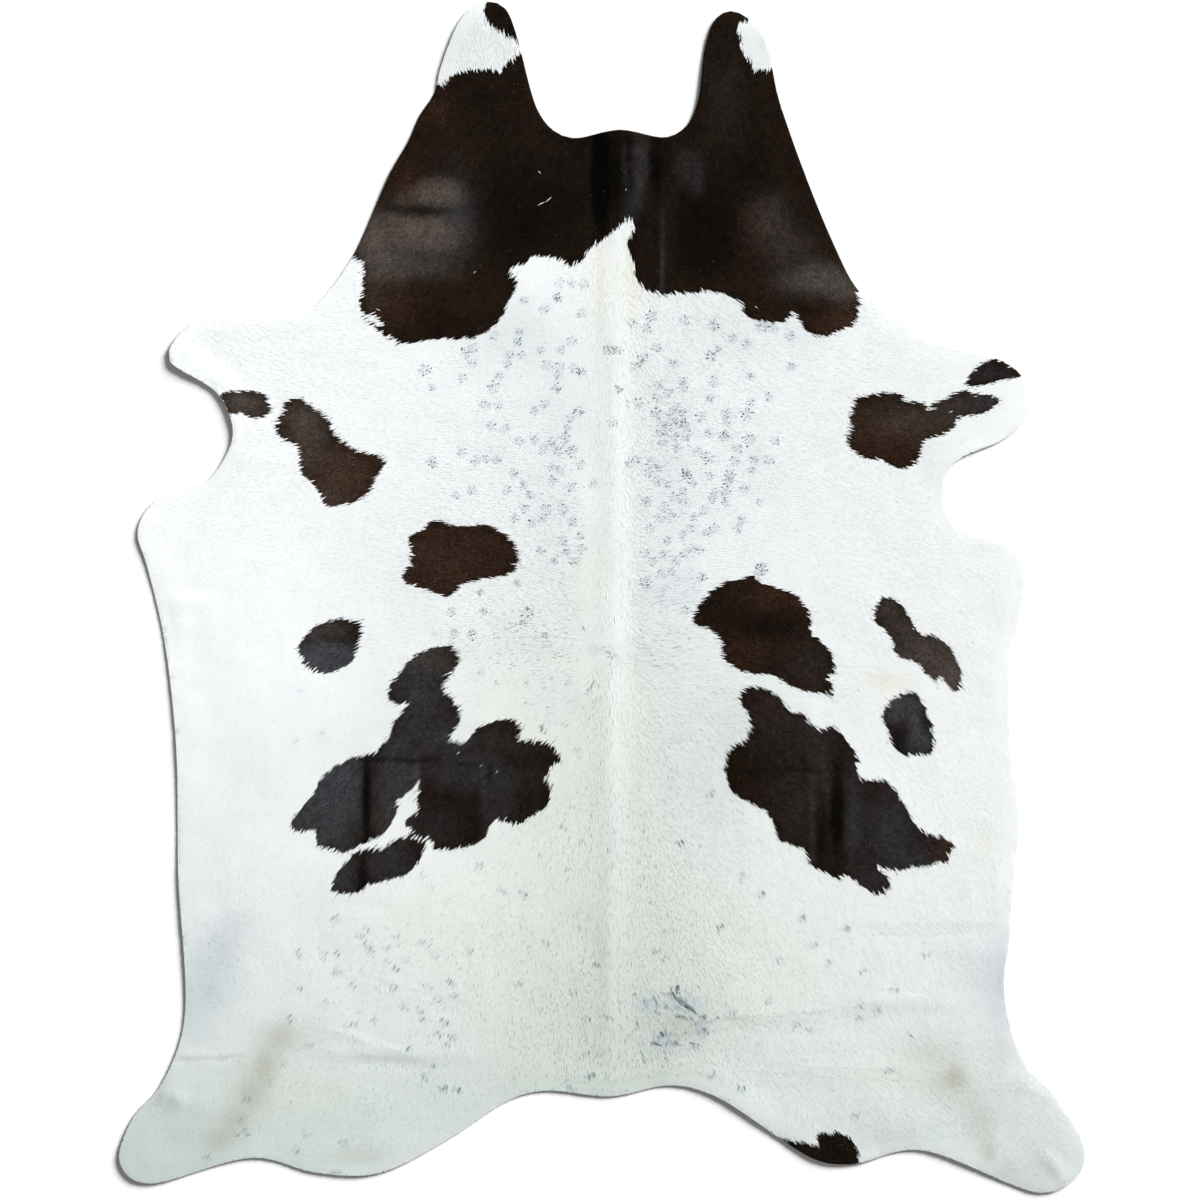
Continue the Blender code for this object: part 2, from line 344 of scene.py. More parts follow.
def hairHeading(points):
    # The direction in which the hair lies at each point, as an angle from +X.
    place = toPhoto(points)
    out = place[:, 0] - photo["spine"]
    weightSum = np.zeros(len(points))
    turned = np.zeros((len(points), 2))
    for away, row, angle in combing:
        gap = (np.abs(out) - away) ** 2 + (place[:, 1] - row) ** 2
        weight = np.exp(-gap / (2 * comb["reach"] ** 2)) + 1e-9
        weightSum += weight
        turned += weight[:, None] * (math.cos(math.radians(angle)), math.sin(math.radians(angle)))
    turned /= weightSum[:, None]
    # Beside the spine the hair runs straight down it.
    parting = smooth(np.abs(out) / comb["parting"])
    turned[:, 0] *= parting * np.where(out < 0, -1, 1)
    turned[:, 1] -= comb["downPull"] * (1 - parting)
    fromWhorl = place - photo["whorl"]
    whorlGap = np.linalg.norm(fromWhorl, axis=1)[:, None]
    share = closeness(whorlGap, comb["whorlSize"])
    swirl = fromWhorl * (1, -1) + comb["whorlTurn"] * fromWhorl[:, ::-1]
    turned = turned * (1 - share) + share * swirl / (whorlGap + 1)
    heading = np.arctan2(turned[:, 1], turned[:, 0])
    return heading + 0.10 * waves(points, 0.09) + 0.07 * waves(points, 0.037, 0.8)


def lookUp(lattice, place):
    # A square lattice's value at each place, straight between its knots. The lattice repeats.
    whole = np.floor(place).astype(int)
    share = place - whole
    value = np.zeros(len(place))
    for right in (0, 1):
        for up in (0, 1):
            weight = np.abs(1 - right - share[:, 0]) * np.abs(1 - up - share[:, 1])
            column, row = (whole[:, 0] + right) % len(lattice), (whole[:, 1] + up) % len(lattice[0])
            value += weight * lattice[column, row]
    return value


def strands(points, heading, cell, reach):
    # Random unevenness of about 1 either way, drawn out along the hair.
    lattice = chance.random((comb["strandNet"], comb["strandNet"]))
    drawn = np.zeros(len(points))
    along = np.stack((np.cos(heading), np.sin(heading)), axis=1)
    for step in np.linspace(-0.5, 0.5, comb["strandSteps"]) * reach:
        drawn += lookUp(lattice, (points[:, :2] + step * along) / cell)
    return (drawn - drawn.mean()) / drawn.std()


# Soft tints of the coat, some of them painted light and shade as marked below: the colour, then blobs
# (across, down, half width, half height, strength). A sixth number above 2 makes a blob's edge sharper.
# The haze is worked out from the flecks.
tints = {
    # Greyer, greener white, strongest towards the rear and the lower left. The blob at (601, 647) is a
    # painted soft shadow beside the whorl's tuft.
    "greyAndShade": ("bbc7c3", (
        (960, 760, 200, 420, 0.06), (150, 1260, 1300, 330, 0.80), (620, 990, 105, 210, 0.45),
        (622, 1030, 70, 90, 0.35), (620, 765, 110, 110, 0.31), (860, 400, 170, 260, 0.10),
        (600, 450, 170, 170, 0.05), (600, 1000, 170, 120, 0.20), (755, 700, 110, 120, 0.16),
        (540, 430, 120, 150, 0.16), (655, 380, 40, 80, 0.10), (540, 620, 90, 110, 0.16),
        (735, 740, 30, 60, 0.25), (150, 1150, 90, 70, 0.52), (290, 1110, 110, 60, 0.30),
        (990, 1120, 60, 40, 0.10), (560, 1080, 120, 40, 0.22), (150, 1185, 60, 20, 0.5),
        (215, 850, 80, 130, 0.14), (205, 690, 40, 110, 0.12), (270, 760, 50, 60, 0.14),
        (380, 760, 70, 60, 0.22), (420, 680, 80, 120, 0.10), (330, 890, 50, 50, 0.12),
        (500, 770, 90, 90, 0.25), (385, 580, 60, 150, 0.10), (370, 940, 90, 50, 0.14),
        (230, 1130, 90, 22, 0.25), (515, 330, 50, 40, 0.30), (562, 392, 30, 60, 0.14),
        (742, 476, 36, 50, 0.12), (740, 320, 50, 40, 0.20), (865, 330, 40, 26, -0.08),
        (470, 45, 60, 34, 0.32), (775, 45, 34, 40, 0.45), (1040, 1180, 60, 40, 0.32),
        (900, 1132, 60, 24, 0.16), (200, 880, 30, 40, 0.10), (230, 980, 70, 30, 0.08),
        (930, 1132, 24, 20, 0.16), (640, 590, 90, 60, 0.10), (268, 1062, 26, 30, 0.2),
        (665, 500, 30, 90, 0.06), (800, 470, 40, 60, 0.04), (601, 647, 10, 6, 0.75), (621, 655, 7, 3, 0.3),
        (800, 336, 20, 16, 0.15), (205, 1000, 40, 50, 0.06), (150, 1160, 60, 30, 0.1),
        (640, 640, 24, 30, 0.08), (576, 655, 30, 16, 0.12))),
    "cream": ("e6e7cf", (
        (595, 570, 12, 50, 0.25), (602, 285, 4, 50, 0.6), (631, 280, 7, 50, 0.5), (612, 275, 18, 26, 0.35),
        (613, 420, 40, 240, 0.07), (613, 700, 80, 120, 0.16), (610, 860, 150, 150, 0.20),
        (610, 980, 200, 110, 0.14), (600, 1050, 130, 60, 0.16), (885, 680, 24, 12, 0.5),
        (985, 840, 10, 26, 0.35), (958, 900, 12, 60, 0.20), (430, 930, 150, 90, 0.16),
        (800, 960, 150, 90, 0.14), (530, 700, 90, 90, 0.18), (900, 1075, 90, 30, 0.2),
        (300, 1090, 90, 40, 0.22))),
    "lilac": ("bcc3cb", (
        (997, 976, 14, 24, 0.2), (960, 955, 22, 30, 0.12), (190, 900, 30, 30, 0.08),
        (655, 1003, 18, 14, 0.14), (216, 950, 24, 24, 0.52), (210, 985, 28, 30, 0.52),
        (236, 925, 24, 20, 0.3), (196, 1020, 20, 36, 0.3), (1000, 965, 14, 34, 0.5),
        (980, 972, 20, 30, 0.25), (1001, 1005, 12, 26, 0.4), (660, 500, 34, 90, 0.06),
        (985, 1040, 30, 22, 0.12), (140, 1130, 60, 60, 0.2), (560, 520, 26, 80, 0.08),
        (162, 1093, 24, 18, 0.2), (684, 1003, 18, 9, 0.5), (664, 1036, 14, 10, 0.5),
        (698, 1024, 8, 16, 0.5), (648, 1000, 16, 10, 0.35), (670, 1046, 20, 5, 0.3))),
    "haze": ("90b2cc", ()),
    "stain": ("a9a897", (
        (800, 1140, 100, 26, 0.08), (1003, 1050, 13, 18, 0.18), (943, 1072, 13, 13, 0.18),
        (918, 1050, 24, 14, 0.1), (682, 1018, 14, 9, 0.12), (1040, 1180, 50, 40, 0.08),
        (140, 1160, 60, 50, 0.08), (200, 960, 40, 130, 0.04), (268, 1062, 13, 20, 0.6),
        (284, 1034, 18, 16, 0.45), (254, 1090, 15, 20, 0.5), (238, 1116, 16, 16, 0.5),
        (224, 1136, 16, 12, 0.5), (296, 1030, 34, 16, 0.2), (358, 1152, 30, 10, 0.3),
        (953, 1074, 10, 13, 0.6), (948, 1080, 26, 22, 0.24), (928, 1046, 26, 18, 0.2),
        (970, 1098, 22, 20, 0.2), (987, 1150, 9, 10, 0.5), (1004, 1168, 14, 14, 0.3),
        (240, 1180, 30, 8, 0.2), (676, 1022, 28, 16, 0.28), (980, 1126, 18, 20, 0.35),
        (870, 1132, 40, 14, 0.1))),
    "parting": ("f3f7f6", (
        (613, 430, 11, 210, 0.65), (612, 740, 9, 110, 0.45), (610, 622, 13, 32, 0.7),
        (612, 682, 2.5, 24, 0.7, 3), (612, 960, 5, 120, 0.2))),
    "brown": ("3b281e", (
        (392, 306, 30, 24, 0.55), (470, 300, 50, 30, 0.1), (440, 112, 20, 20, 0.4), (420, 190, 20, 12, 0.5),
        (845, 322, 26, 14, 0.9), (404, 180, 14, 26, 0.35), (750, 250, 20, 30, 0.2),
        (730, 285, 40, 14, 0.15), (745, 650, 30, 22, 0.45), (770, 598, 34, 16, 0.6),
        (345, 475, 34, 30, 1.0), (336, 496, 24, 14, 0.6), (455, 555, 70, 34, 0.65), (440, 582, 40, 12, 0.4),
        (300, 412, 20, 16, 0.5), (888, 436, 50, 34, 0.6), (775, 710, 26, 26, 0.25),
        (500, 740, 24, 20, 0.15), (944, 850, 12, 14, 0.8), (745, 330, 60, 16, 0.3),
        (805, 600, 12, 16, 0.4))),
    # Painted sheen: lighter taupe and lilac grey where the dark hair catches the light, on the neck, the
    # shoulders, the hips and the right flank.
    "paintedSheen": ("5d544e", (
        (330, 662, 16, 12, 0.2), (385, 822, 14, 14, 0.15), (840, 778, 12, 12, 0.08),
        (440, 193, 24, 16, 0.68, 4), (392, 216, 14, 10, 0.3), (440, 216, 14, 8, 0.25),
        (422, 232, 44, 18, 0.68, 4), (374, 240, 16, 26, 0.75), (388, 262, 22, 20, 0.45),
        (410, 205, 18, 14, 0.3), (400, 266, 26, 12, 0.3), (440, 246, 26, 14, 0.35),
        (455, 160, 24, 24, 0.05), (768, 216, 20, 22, 0.25), (784, 246, 28, 20, 0.22),
        (820, 278, 26, 14, 0.72), (842, 290, 14, 12, 0.7), (790, 284, 24, 12, 0.2),
        (725, 100, 20, 60, 0.08), (806, 665, 24, 26, 0.12), (925, 655, 34, 24, 0.5),
        (950, 678, 14, 18, 0.75), (900, 628, 16, 16, 0.25), (885, 608, 12, 12, 0.3),
        (308, 438, 22, 30, 0.45), (302, 418, 16, 12, 0.4), (330, 497, 22, 10, 0.3),
        (345, 470, 30, 26, 0.12), (375, 300, 8, 26, 0.15), (920, 420, 60, 18, 0.25),
        (246, 404, 24, 14, 0.58), (960, 402, 26, 12, 0.2), (320, 630, 30, 14, 0.4), (430, 656, 30, 16, 0.3),
        (430, 560, 50, 30, 0.05), (796, 796, 24, 40, 0.08), (822, 776, 6, 30, 0.15),
        (900, 706, 20, 16, 0.35), (437, 270, 26, 12, 0.2))),
    # Painted sheen in cool grey, on the hips, the round patch, the right flank and the neck, with painted
    # highlights as thin strips along the folds of the dark patches.
    "paintedGreySheen": ("404145", (
        (320, 636, 16, 12, 0.35), (322, 796, 44, 58, 0.78, 5), (348, 774, 18, 22, 0.65),
        (418, 774, 4, 22, 0.6, 4), (398, 786, 21, 50, 0.55, 4), (452, 738, 50, 18, 0.36),
        (422, 690, 30, 44, 0.5), (470, 772, 46, 20, 0.32, 4), (500, 800, 18, 40, 0.22, 4),
        (440, 822, 24, 20, 0.25), (530, 780, 20, 40, 0.12), (485, 796, 3, 34, 0.3),
        (328, 658, 38, 18, 1.0, 4), (330, 664, 20, 8, 0.5), (344, 868, 12, 26, 0.55),
        (375, 872, 16, 16, 0.2), (395, 860, 20, 24, 0.35), (772, 716, 26, 30, 0.15),
        (811, 806, 3, 70, 0.25), (800, 800, 30, 60, 0.05), (824, 780, 10, 40, 0.08),
        (852, 815, 8, 50, 0.36), (890, 826, 34, 40, 0.4), (910, 858, 30, 14, 0.3), (872, 882, 20, 12, 0.28),
        (815, 735, 20, 20, 0.2), (913, 720, 6, 26, 0.9), (922, 740, 9, 14, 0.8), (900, 708, 18, 14, 0.7),
        (905, 742, 14, 10, 0.3), (984, 402, 16, 9, 0.4), (637, 160, 5, 34, 0.45, 3), (645, 158, 3, 28, 0.4),
        (624, 166, 4, 22, 0.3), (632, 200, 9, 16, 0.35), (627, 216, 5, 12, 0.4), (640, 182, 4, 20, 0.3),
        (462, 212, 14, 24, 0.5), (412, 258, 34, 12, 0.3), (688, 166, 16, 22, 0.22, 4),
        (697, 186, 6, 10, 0.3), (661, 252, 2.2, 44, 0.6), (812, 278, 26, 12, 0.4, 3),
        (985, 374, 30, 7, 0.3))),
    # Near-black hair, and painted shade: the thin dark strips beside the folds of the dark patches and in
    # the crease on the neck.
    "blackAndFoldShade": ("050604", (
        (661, 165, 13, 26, 0.5), (602, 150, 8, 24, 0.5), (720, 178, 15, 36, 0.28), (690, 203, 14, 16, 0.3),
        (500, 780, 14, 14, 0.18), (530, 800, 14, 16, 0.28), (830, 822, 14, 14, 0.35),
        (645, 217, 12, 10, 0.2), (601, 178, 11, 62, 1.0, 8), (602, 136, 40, 8, 0.5, 4),
        (616, 170, 7, 40, 0.75, 3), (622, 196, 12, 40, 0.4), (628, 150, 3, 12, 0.6),
        (655, 166, 6, 26, 0.7, 4), (530, 215, 34, 50, 0.65), (502, 190, 20, 30, 0.35),
        (575, 190, 20, 70, 0.35), (632, 250, 26, 20, 0.2), (706, 235, 34, 48, 0.6, 4),
        (745, 175, 24, 24, 0.45), (755, 260, 20, 20, 0.25), (510, 240, 20, 20, 0.3),
        (478, 110, 30, 30, 0.2), (505, 20, 24, 24, 0.3), (424, 210, 30, 5.5, 0.75, 3),
        (394, 208, 12, 5, 0.5), (368, 800, 4.5, 48, 0.9, 6), (404, 759, 42, 3, 0.6, 4),
        (478, 763, 34, 2.5, 0.4), (456, 812, 22, 22, 0.3), (491, 775, 3.5, 16, 0.6),
        (530, 760, 20, 10, 0.2), (364, 878, 5, 24, 0.75, 6), (330, 639, 34, 3, 0.35, 4),
        (797, 769, 46, 2.5, 0.4), (820, 822, 5, 48, 0.6, 4), (836, 808, 7, 46, 0.8, 6),
        (745, 765, 18, 18, 0.1), (899, 738, 6, 13, 0.6), (760, 628, 24, 14, 0.5), (782, 622, 12, 12, 0.3),
        (720, 612, 20, 20, 0.2), (835, 1150, 30, 20, 0.4), (750, 110, 20, 40, 0.2), (720, 60, 16, 40, 0.25),
        (440, 320, 40, 16, 0.25))),
}


def tintStrength(points, blobs):
    place = toPhoto(points)
    strength = np.zeros(len(points))
    for across, down, halfWidth, halfHeight, most, *power in blobs:
        gap = ((place[:, 0] - across) / halfWidth) ** 2 + ((place[:, 1] - down) / halfHeight) ** 2
        fall = power[0] if power else 2
        strength = 1 - (1 - strength) * (1 - most * np.exp(-gap ** (fall / 2)))
    return np.clip(strength, 0, 1)


def paintedTints(points, haze):
    painted = {name: tintStrength(points, blobs) for name, (_, blobs) in tints.items()}
    painted["haze"] = haze
    return painted


# Flecks: small clusters of grey-blue hairs in the white coat.
flecks = {
    "dark": (
        (652, 316), (714, 325), (518, 342), (467, 352), (582, 372), (557, 388), (711, 356), (643, 359),
        (425, 370), (494, 387), (579, 411), (656, 414), (681, 422), (747, 414), (724, 436), (749, 440),
        (709, 458), (686, 473), (726, 492), (433, 462), (572, 452), (646, 582), (702, 577), (762, 568),
        (528, 612), (473, 634), (543, 728), (681, 843), (762, 895), (720, 928), (336, 918), (299, 953),
        (338, 953), (370, 950), (396, 968), (450, 983), (291, 1018), (444, 1023), (410, 1048), (443, 1089),
        (457, 1089), (247, 1132), (597, 964), (590, 1075), (742, 1088), (803, 917), (848, 929), (558, 298),
        (687, 476), (728, 480), (761, 571)),
    "faint": (
        (525, 300), (557, 298), (545, 309), (582, 313), (560, 283), (572, 283), (584, 284), (685, 320),
        (633, 323), (647, 328), (765, 327), (495, 335), (520, 332), (522, 355), (474, 348), (510, 355),
        (541, 350), (572, 341), (547, 365), (560, 367), (733, 338), (747, 344), (718, 349), (657, 347),
        (636, 367), (673, 364), (714, 382), (684, 380), (683, 388), (669, 393), (659, 385), (711, 398),
        (620, 390), (613, 350), (433, 387), (463, 378), (473, 363), (790, 336), (535, 410), (571, 418),
        (568, 428), (486, 405), (492, 425), (505, 428), (672, 413), (683, 413), (701, 416), (686, 427),
        (668, 432), (675, 437), (663, 443), (677, 448), (727, 413), (738, 448), (775, 440), (735, 461),
        (755, 460), (752, 470), (731, 474), (729, 480), (745, 488), (760, 502), (704, 510), (742, 520),
        (708, 532), (463, 453), (476, 461), (487, 458), (535, 440), (551, 443), (565, 441), (553, 467),
        (581, 465), (514, 473), (524, 485), (508, 490), (572, 487), (594, 483), (457, 495), (473, 490),
        (525, 508), (515, 518), (573, 522), (580, 536), (582, 548), (636, 461), (672, 514), (695, 517),
        (686, 610), (452, 611), (484, 611), (523, 623), (455, 632), (545, 635), (712, 794), (480, 865),
        (743, 877), (367, 929), (324, 955), (421, 943), (469, 950), (337, 972), (352, 985), (301, 987),
        (326, 1004), (404, 1006), (355, 1025), (310, 1045), (447, 1046), (435, 1064), (285, 1063),
        (270, 1083), (425, 1079), (236, 1135), (242, 1122), (297, 1149), (307, 1133), (345, 1142),
        (207, 1157), (248, 1098), (505, 892), (524, 893), (546, 942), (520, 985), (574, 992), (586, 1019),
        (610, 1018), (587, 1055), (568, 1083), (657, 951), (665, 958), (733, 1012), (712, 1076), (815, 945),
        (780, 960), (829, 963), (863, 970), (895, 990), (877, 1012), (860, 1005), (860, 1020), (810, 1030),
        (796, 1025), (770, 1000), (888, 1070), (856, 1116), (927, 955), (676, 988), (680, 1000),
        (690, 1010), (703, 1018), (705, 1032), (662, 1035), (655, 1043), (672, 1042), (697, 1045),
        (507, 364), (500, 376), (499, 405), (561, 350), (559, 375), (574, 368), (520, 441), (543, 450),
        (557, 450), (497, 459), (561, 470), (530, 495), (553, 480), (532, 523), (547, 508), (563, 509),
        (543, 518), (541, 550), (567, 552), (563, 540), (575, 561), (555, 561), (481, 592), (518, 583),
        (773, 328), (759, 327), (792, 367), (657, 398), (750, 376), (769, 396), (751, 402), (727, 421),
        (709, 433), (668, 425), (660, 433), (687, 437), (769, 460), (726, 503), (699, 452), (711, 476),
        (693, 483), (652, 462), (660, 468), (650, 472), (658, 480), (668, 483), (674, 497), (683, 491),
        (685, 501), (715, 493), (713, 499), (715, 528), (738, 528), (664, 507), (660, 518), (650, 528),
        (646, 503), (668, 540), (683, 534), (691, 528), (685, 553), (699, 550), (693, 548), (664, 553),
        (645, 553), (652, 561), (676, 561), (662, 573), (672, 571), (638, 404), (608, 350), (619, 350),
        (613, 421), (629, 464), (648, 500), (674, 421), (677, 407), (662, 424), (545, 404), (566, 435),
        (361, 935), (367, 944), (387, 947), (435, 955), (388, 961), (394, 988), (429, 986), (454, 995),
        (438, 1000), (420, 1009), (423, 1019), (375, 1020), (439, 1034), (453, 1036)),
    "trace": (
        (453, 637), (435, 634), (513, 625), (525, 622), (548, 634), (482, 672), (497, 683), (513, 665),
        (527, 683), (558, 655), (569, 683), (590, 690), (565, 724), (527, 703), (577, 749), (548, 707),
        (478, 867), (432, 886), (423, 876), (501, 889), (564, 828), (541, 856), (569, 870), (583, 842),
        (301, 691), (296, 740), (322, 733), (395, 935), (400, 943), (429, 947), (405, 960), (362, 972),
        (361, 1012), (346, 1027)),
}
# How each kind looks: dots, dashes, radius in pixels, dark ones, darkest, palest, haze round them.
fleckLook = {
    "dark": (15, 5, 5.8, 4, 1.0, 0.40, 0.15),
    "faint": (13, 5, 4.9, 2, 0.78, 0.26, 0.12),
    "trace": (6, 4, 4.2, 1, 0.50, 0.14, 0.05),
}
fleckShape = {
    "rear": (560, 340),  # the pixel row where dots begin to give way to dashes, over so many rows
    "rearPaler": 0.2,
    "size": (0.8, 0.4),  # the smallest, and what chance adds
    "lean": 0.12,        # radians off the lie of the hair
    "fewest": 3,         # hairs in a fleck
    "turn": 2.4,         # radians from one dot to the next round a fleck
    "turnJitter": 0.35,
    "dashShift": 3.0,    # pixels that a dash lies forward or back
    "dashGap": 1.8,      # pixels from one dash to the next
    "dotLength": 1.8,    # pixels
    "dashLonger": 3.8,   # pixels more
    "darkLonger": 1.35,  # times the length of a pale one
    "lengths": (0.8, 1.25),
    "darks": (0.8, 1),   # of the darkest
    "pales": (0.4, 1.6),  # of the palest
}
# Strokes of hair: (across, down, across, down, hairs, darkness). The darkness of white hairs is below 0.
strokes = (
    # The smudge over the tail, with a dash on the right hind leg
    (677, 984, 678, 992, 8, 1.0), (672, 991, 682, 1004, 8, 0.8), (668, 990, 675, 1001, 4, 0.45),
    (684, 1004, 696, 1012, 8, 0.9), (679, 996, 690, 1008, 5, 0.6), (675, 1013, 688, 1018, 5, 0.6),
    (655, 1009, 661, 1014, 4, 0.4), (704, 1013, 707, 1021, 4, 0.6), (703, 1027, 706, 1031, 7, 0.8),
    (660, 1032, 665, 1036, 9, 0.9), (653, 1042, 662, 1045, 6, 0.75), (672, 1040, 681, 1045, 5, 0.45),
    (690, 1042, 698, 1044, 5, 0.55), (684, 1031, 690, 1034, 4, 0.35), (660, 991, 665, 995, 3, 0.5),
    (653, 992, 658, 1006, 6, 0.3), (634, 992, 636, 995, 3, 0.6), (697, 984, 700, 988, 2, 0.4),
    (716, 1016, 720, 1018, 2, 0.9), (909, 1033, 914, 1038, 2, 0.8), (664, 1003, 672, 1010, 5, 0.3),
    (690, 1014, 697, 1024, 5, 0.35),
    # White hairs in the smudge, and its faint ends
    (674, 1003, 690, 1011, 2, -1.0), (688, 1018, 697, 1027, 2, -1.0), (674, 1011, 684, 1014, 1, -1.0),
    (636, 1018, 640, 1030, 3, 0.35), (640, 1050, 646, 1066, 5, 0.3), (662, 1048, 668, 1058, 4, 0.25),
    # White scratches in the dark patches
    (541, 174, 538, 171, 1, -1.0), (552, 197, 545, 203, 2, -1.0), (545, 202, 537, 206, 2, -1.0),
    (626, 189, 626, 191, 1, -1.0), (953, 411, 948, 413, 2, -1.0), (376, 309, 381, 311, 2, -1.0),
    # Faint strokes on the neck and beside the spine
    (606, 345, 612, 352, 4, 0.28), (612, 347, 618, 353, 4, 0.32), (618, 349, 623, 354, 3, 0.25),
    (615, 385, 622, 391, 4, 0.4), (626, 398, 629, 405, 3, 0.3), (638, 467, 630, 474, 3, 0.22),
    # The dark star in the whorl
    (612, 655, 609, 650, 1, 0.4), (613, 655, 616, 651, 1, 0.35), (612, 656, 606, 656, 1, 0.3),
    (613, 656, 620, 654, 1, 0.35), (612, 655, 613, 660, 1, 0.5), (606, 650, 610, 654, 1, 0.25),
    # White hairs down the spine
    (611, 659, 612, 670, 1, -1.0), (613, 667, 613, 680, 1, -1.0), (610, 679, 609, 690, 1, -1.0),
    (613, 692, 615, 703, 1, -1.0), (611, 705, 611, 717, 1, -1.0), (614, 715, 615, 728, 1, -1.0),
    (604, 720, 601, 733, 1, -1.0), (609, 727, 607, 739, 1, -1.0), (613, 738, 612, 750, 1, -1.0),
    (607, 592, 607, 602, 1, -1.0), (615, 614, 616, 626, 1, -1.0),
    # Left of the whorl
    (582, 625, 586, 631, 2, 0.5), (595, 680, 592, 688, 3, 0.45),
)
strokeShape = {
    "single": 3,         # fewer hairs than this lie on the stroke itself, and more are strewn along it
    "strewnFrom": (-0.1, 1.1),  # ends of the strewn hairs, as shares of the stroke
    "strewn": 1.7,       # times the hairs that the table says
    "spread": 0.9,       # pixels to either side
    "shortest": 0.4,     # of the stroke's length
    "palest": 0.55,      # of its darkness
}
hazeLook = {
    "tint": (1.8, 0.4),  # of the leather and coat for each share of thin hairs, and at most
    "fleckHalf": 5.5,    # pixels, half the width of the haze round a fleck
}
# Wide hazes of thin grey hair: (across, down, half width, half height, share of the hairs).
hazes = (
    (680, 425, 18, 22, 0.05), (660, 470, 16, 16, 0.05), (676, 505, 18, 18, 0.05), (556, 446, 20, 14, 0.05),
    (670, 500, 36, 110, 0.02), (560, 515, 24, 90, 0.015), (670, 590, 34, 24, 0.06),
    (500, 450, 60, 60, 0.006), (730, 450, 50, 60, 0.008), (340, 980, 70, 50, 0.012),
    (215, 965, 24, 40, 0.03), (800, 940, 60, 40, 0.004), (665, 650, 34, 34, 0.045),
    (575, 640, 34, 26, 0.03), (440, 1060, 40, 40, 0.014), (520, 640, 40, 30, 0.05),
    (560, 700, 40, 40, 0.05), (600, 900, 90, 120, 0.025), (610, 1030, 110, 60, 0.03),
    (480, 960, 90, 70, 0.015), (690, 800, 50, 110, 0.015), (330, 1080, 120, 60, 0.015),
    (950, 1060, 50, 60, 0.004), (684, 1004, 20, 12, 0.10), (664, 1038, 16, 9, 0.10),
    (650, 1004, 16, 14, 0.06), (700, 1030, 9, 14, 0.08),
)


def softSpots(points, spots):
    # The strongest of many soft spots at each point: (across, down, half width, half height, strength).
    place = toPhoto(points)
    most = np.zeros(len(points))
    for across, down, halfWidth, halfHeight, strength in spots:
        near = np.flatnonzero(np.abs(place[:, 0] - across) < 2.5 * halfWidth)
        gap = ((place[near, 0] - across) / halfWidth) ** 2 + ((place[near, 1] - down) / halfHeight) ** 2
        most[near] = np.maximum(most[near], strength * np.exp(-gap ** 1.5))
    return most


def hazeTint(points):
    # The pale grey tint round the flecks and in the hazes.
    tint, most = hazeLook["tint"]
    spots = [(*spot, min(most, tint * share)) for *spot, share in hazes]
    half = hazeLook["fleckHalf"]
    for kind, places in flecks.items():
        spots += [(*place, half, half, fleckLook[kind][-1]) for place in places]
    return softSpots(points, spots)


def rearShare(down):
    # 0 in the front half, where flecks are dots, and 1 at the rear, where they are dashes.
    return past(down, *fleckShape["rear"])


def fleckHairs():
    # Every hair of the flecks: (root across, down, tip across, down, darkness).
    shape = fleckShape
    smallest, more = shape["size"]
    hairs = []
    for kind, places in flecks.items():
        dots, dashes, radius, deepest, darkest, palest, _ = fleckLook[kind]
        for across, down in places:
            slant = hairHeading(fromPhoto([(across, down)]))[0] + shape["lean"] * chance.standard_normal()
            lying = np.array((math.cos(slant), -math.sin(slant)))
            aside = np.array((lying[1], -lying[0]))
            rear = rearShare(down)
            front = 1 - rear
            scale = smallest + more * chance.random()
            count = max(shape["fewest"], round(scale * (dots + (dashes - dots) * rear)))
            for i, rank in enumerate(chance.permutation(count)):
                out = radius * scale * math.sqrt((i + 0.5) / count)
                turned = shape["turn"] * i + chance.uniform(-shape["turnJitter"], shape["turnJitter"])
                shift = shape["dashShift"] * rear * chance.uniform(-1, 1)
                row = shape["dashGap"] * rear * (i + chance.random() - count / 2)
                isDeep = rank < (deepest if rear < 0.5 else (deepest + 1) // 2)
                reach = shape["dotLength"] + shape["dashLonger"] * rear
                reach *= chance.uniform(*shape["lengths"])
                reach *= shape["darkLonger"] if isDeep else 1
                along = out * math.cos(turned) * front + shift - 0.5 * reach
                root = (across, down) + along * lying + (out * math.sin(turned) * front + row) * aside
                usual, spread = (darkest, shape["darks"]) if isDeep else (palest, shape["pales"])
                darkness = usual * chance.uniform(*spread) * (1 - shape["rearPaler"] * rear)
                hairs.append((*root, *(root + reach * lying), darkness))
    return hairs


def strokeHairs():
    # Every hair of the strokes, in the same way.
    hairs = []
    for *ends, count, darkness in strokes:
        if count < strokeShape["single"]:
            hairs += [(*ends, darkness)] * count
            continue
        start, end = np.array(ends[:2]), np.array(ends[2:])
        normal = np.array((end[1] - start[1], start[0] - end[0])) / math.dist(start, end)
        for _ in range(round(strokeShape["strewn"] * count)):
            aside = strokeShape["spread"] * chance.standard_normal()
            first, last = sorted(chance.uniform(*strokeShape["strewnFrom"], 2))
            root = start + first * (end - start) + aside * normal
            tip = start + max(last, first + strokeShape["shortest"]) * (end - start) + aside * normal
            hairs.append((*root, *tip, darkness * chance.uniform(strokeShape["palest"], 1)))
    return hairs


# The hide itself: leather on the folds of its solid

